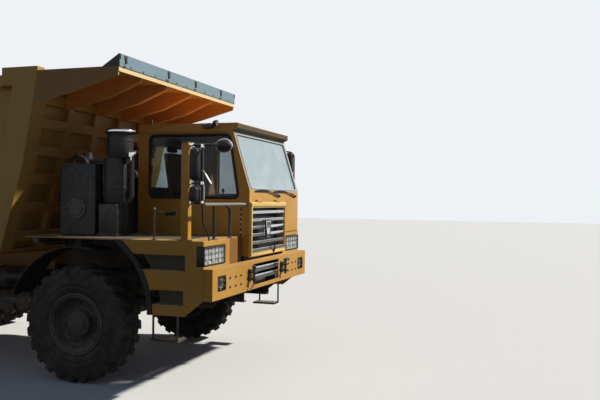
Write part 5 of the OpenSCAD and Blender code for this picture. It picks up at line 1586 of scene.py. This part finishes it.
# %% Engine and cooling
FAN_AT, BLADES = at(0.62, 0.0, 1.35), 8
extras = [slab((2.30, 1.05), (s * 0.30 - 0.07, s * 0.30 + 0.07), (1.600, 1.672), 0.02, 3)
          for s in (-0.5, 0.5)]
extras.append(slab((2.05, 1.02), (-0.24, 0.24), (0.760, 0.850), 0.03, 3))
for s in (-1, 1):
    extras.append(pipe([(1.10, s * 0.375, 1.420), (2.28, s * 0.375, 1.420)], 0.048))
    for d in (1.20, 1.40, 1.60, 1.80, 2.00, 2.20):
        extras.append(pipe([(d, s * 0.375, 1.420), (d, s * 0.31, 1.500)], 0.030))
for d, y, z, r, way in ((0.90, 0.36, 1.25, 0.075, "X"), (2.35, -0.36, 1.02, 0.070, "X"),
                        (1.10, -0.39, 1.08, 0.055, "Z"), (1.28, -0.39, 1.08, 0.055, "Z")):
    extras.append(spun([(0.0, 0.12), (r * 0.8, 0.12), (r, 0.10), (r, -0.10), (r * 0.8, -0.12),
                        (0.0, -0.12)], at(d, y, z), way, 28))
settle(extras, "engine_covers", "cast_iron", cast_iron)
fan = [spun([(0.0, 0.05), (0.07, 0.05), (0.09, 0.03), (0.09, -0.03), (0.0, -0.05)], FAN_AT, "X",
            28),
       tube([FAN_AT, at(0.80, 0.0, 1.35)], 0.035)]
for i in range(BLADES):
    blade = block((-0.006, -0.035, 0.07), (0.006, 0.035, 0.26), 0.002, 1)
    blade.data.transform(Matrix.Translation(FAN_AT) @ Matrix.Rotation(math.tau * i / BLADES, 4, "X")
                         @ Matrix.Rotation(0.5, 4, "Z"))
    fan.append(blade)
settle(fan, "cooling_fan", "black_plastic", black_plastic)
hoses = [pipe([(0.325, 0.62, 1.92), (0.42, 0.62, 1.90), (0.62, 0.40, 1.66), (0.95, 0.22, 1.62)],
              0.032, 0.10),
         pipe([(0.325, -0.20, 1.24), (0.45, -0.20, 1.20), (0.80, -0.22, 1.10)], 0.032, 0.08)]
settle(hoses, "water_hoses", "rubber", seal_rubber)
print("engine dressed")

# %% Springs, brakes and shafts
# For each kind of spring: distances, bolt y, bolt z, bolt radius, then the lid's middle and half
# width in y, half length and z.
U_BOLTS = (
    ((1.726, 1.826), (0.352, 0.448), (0.735, 0.875), 0.011, 0.40, 0.06, 0.012, (0.868, 0.884)),
    ((6.080, 6.272), (0.497, 0.593), (0.770, 0.935), 0.013, 0.545, 0.062, 0.015, (0.925, 0.943)))
clamps = []
for s in (-1, 1):
    for distances, bolt_ys, bolt_zs, radius, middle, half, reach, lid_zs in U_BOLTS:
        for d in distances:
            clamps += [pipe([(d, s * y, z) for z in bolt_zs], radius) for y in bolt_ys]
            clamps.append(slab((d + reach, d - reach), (s * middle - half, s * middle + half),
                               lid_zs, 0.004))
settle(clamps, "spring_clamps", "dark_paint", black_iron)
cans = []
for d in (MID_AXLE, REAR_AXLE):
    for s in (-1, 1):
        cans.append(spun([(0.0, 0.080), (0.045, 0.078), (0.070, 0.050), (0.074, 0.012),
                          (0.082, 0.008), (0.082, -0.008), (0.074, -0.012), (0.066, -0.060),
                          (0.040, -0.075), (0.014, -0.078), (0.014, -0.150), (0.0, -0.150)],
                         at(d - 0.20, s * 0.60, 0.770), "X", 28))
        cans.append(slab((d - 0.03, d - 0.05), (s * 0.60 - 0.03, s * 0.60 + 0.03), (0.60, 0.80),
                         0.005))
        cans.append(spun([(0.0, 0.030), (0.050, 0.030), (0.052, -0.030), (0.0, -0.030)],
                         at(d, s * 0.60, AXLE_Z), "Y", 24))
settle(cans, "brake_cans", "dark_paint", black_iron)
joints = [spun([(0.0, 0.035), (0.050, 0.034), (0.062, 0.022), (0.090, 0.012), (0.090, -0.012),
                (0.062, -0.022), (0.050, -0.034), (0.0, -0.035)], at(d, 0, z), "X", 28)
          for d, z in ((2.62, 1.000), (5.06, 0.735), (5.790, 0.705), (6.560, 0.705))]
settle(joints, "shaft_joints", "steel", steel)
boots = [spun([(0.0, 0.050), (0.020, 0.048), (0.034, 0.030), (0.026, 0.020), (0.036, 0.006),
               (0.030, -0.010), (0.0, -0.020)], at(2.036, s * 1.140, 0.612), "Z", 24)
         for s in (-1, 1)]
settle(boots, "rod_boots", "rubber", seal_rubber, body="tie_rod")
lines = [pipe([(2.30, s * 0.352, 1.100), (7.60, s * 0.352, 1.100)], 0.012) for s in (-1, 1)]
lines += [pipe([(2.30, -0.348, 1.060), (4.10, -0.348, 1.060), (4.22, -0.340, 0.960)], 0.018, 0.05)]
for d in (MID_AXLE, REAR_AXLE):
    for s in (-1, 1):
        lines.append(pipe([(d - 0.22, s * 0.352, 1.100), (d - 0.22, s * 0.44, 1.175),
                           (d - 0.24, s * 0.56, 1.10), (d - 0.22, s * 0.60, 0.85)], 0.010, 0.06))
settle(lines, "air_lines", "rubber", seal_rubber)
print("running gear dressed")

# %% Fuel and air tanks
AIR_TANK_Y, AIR_TANK_ZS = -0.640, (0.760, 1.080)
rounded_panel("fuel_tank", "dark_paint", dark_paint, width=0.010, segments=3)
straps = []
for d in (3.085, 3.735):
    ring = [at(d, y, z) for y, z in ((0.468, 0.612), (1.020, 0.612), (1.086, 0.680), (1.086, 1.180),
                                     (1.020, 1.248), (0.468, 1.248))]
    for a, b in zip(ring, ring[1:]):
        low = [min(p, q) - 0.003 for p, q in zip(a, b)]
        high = [max(p, q) + 0.003 for p, q in zip(a, b)]
        if abs(a[1] - b[1]) > 0.01 and abs(a[2] - b[2]) > 0.01:
            straps.append(tube([a, b], 0.008))
            continue
        low[0], high[0] = behind(d + 0.030), behind(d - 0.030)
        straps.append(block(low, high, 0.002, 1))
straps += [band(0.141, 0.016, at(d, AIR_TANK_Y, z), "X", 40) for d in (3.05, 3.30, 3.60, 3.82)
           for z in AIR_TANK_ZS]
settle(straps, "tank_straps", "dark_paint", black_iron)
caps = [spun([(0.0, 0.034), (0.044, 0.032), (0.052, 0.022), (0.052, 0.004), (0.060, 0.002),
              (0.060, -0.006), (0.0, -0.006)], at(3.45, 0.960, 1.240), "Z", 32)]
caps += [spun([(0.0, 0.020), (0.016, 0.018), (0.020, 0.0), (0.020, -0.01), (0.0, -0.01)],
              at(2.940, AIR_TANK_Y, z), "X", 20) for z in AIR_TANK_ZS]
settle(caps, "tank_caps", "dark_paint", black_iron)
web = [at(d, 0.4405, z) for d in (2.9, 3.3, 4.4, 4.8, 5.2, 5.7, 6.6, 7.1, 7.5)
       for z in (0.925, 1.115)]
bolts("rail_bolts_left", web, (0, 1, 0), 0.013, black_iron)
bolts("rail_bolts_right", [(x, -y, z) for x, y, z in web], (0, -1, 0), 0.013, black_iron)
print("tanks strapped")

# %% [markdown]
# ## Rear and bed
# Tail lamps sit on the rear cross member, out of the way of the tipping bed. Pin caps close the
# bed's shaft. The strip on the canopy is held by four clips, an end plate on each side and a row
# of bolts.

# %% Tail lamps and pin caps
red_glass = glass("red_glass", (0.60, 0.05, 0.03), (0.35, 0.02, 0.015), 0.55, 0.15)
amber_glass = glass("amber_glass", (0.75, 0.30, 0.04), (0.55, 0.20, 0.02), 0.55, 0.15)
boxes, reds, ambers = [], [], []
for s in (-1, 1):
    near, far = sorted((s * 0.12, s * 0.36))
    boxes.append(slab((7.942, 7.898), (near, far), (0.900, 0.985), 0.008, 3))
    mid = (near + far) / 2
    for start, end, kind in ((near + 0.008, mid - 0.003, reds if s > 0 else ambers),
                             (mid + 0.003, far - 0.008, ambers if s > 0 else reds)):
        kind.append(slab((7.956, 7.938), (start, end), (0.908, 0.977), 0.005, 2))
settle(boxes, "tail_lamp_boxes", "black_plastic", black_plastic)
settle(reds, "tail_lamps_red", "lamp", red_glass)
settle(ambers, "tail_lamps_amber", "lamp", amber_glass)
PIVOT_D, PIVOT_Z = 7.80, 1.230
pins = [spun([(0.0, 0.018), (0.060, 0.018), (0.066, 0.010), (0.066, -0.002), (0.0, -0.002)],
             at(PIVOT_D, s * 0.560, PIVOT_Z), "Y" if s > 0 else "-Y", 32) for s in (-1, 1)]
settle(pins, "pivot_caps", "steel", steel)
bolts("pivot_cap_bolts", [(behind(PIVOT_D) + 0.045 * math.cos(a), 0.577,
                           PIVOT_Z + 0.045 * math.sin(a)) for a in (0.6, 2.7, 4.8)],
      (0, 1, 0), 0.008)
print("rear dressed")

# %% Canopy clips
STRIP_BOLT_PITCH = 0.28
clips = []
for y in (-1.510, -0.490, 0.280, 1.120):
    clips += [slab((1.182, 1.172), (y - 0.032, y + 0.032), (3.752, 3.790), 0.004),
              slab((1.177, 1.166), (y - 0.014, y + 0.014), (3.700, 3.760), 0.004),
              slab((1.182, 1.174), (y - 0.050, y - 0.006), (3.655, 3.676), 0.003)]
for s in (-1, 1):
    clips.append(slab((1.215, 1.172), sorted((s * 1.622, s * 1.633)), (3.735, 3.796), 0.003))
settle(clips, "strip_clips", "dark_paint", cast_iron, body="bed")
bolts("strip_bolts", [at(1.1797, -1.40 + STRIP_BOLT_PITCH * i, 3.672) for i in range(11)],
      (1, 0, 0), 0.008, cast_iron, body="bed")
print("bed dressed")
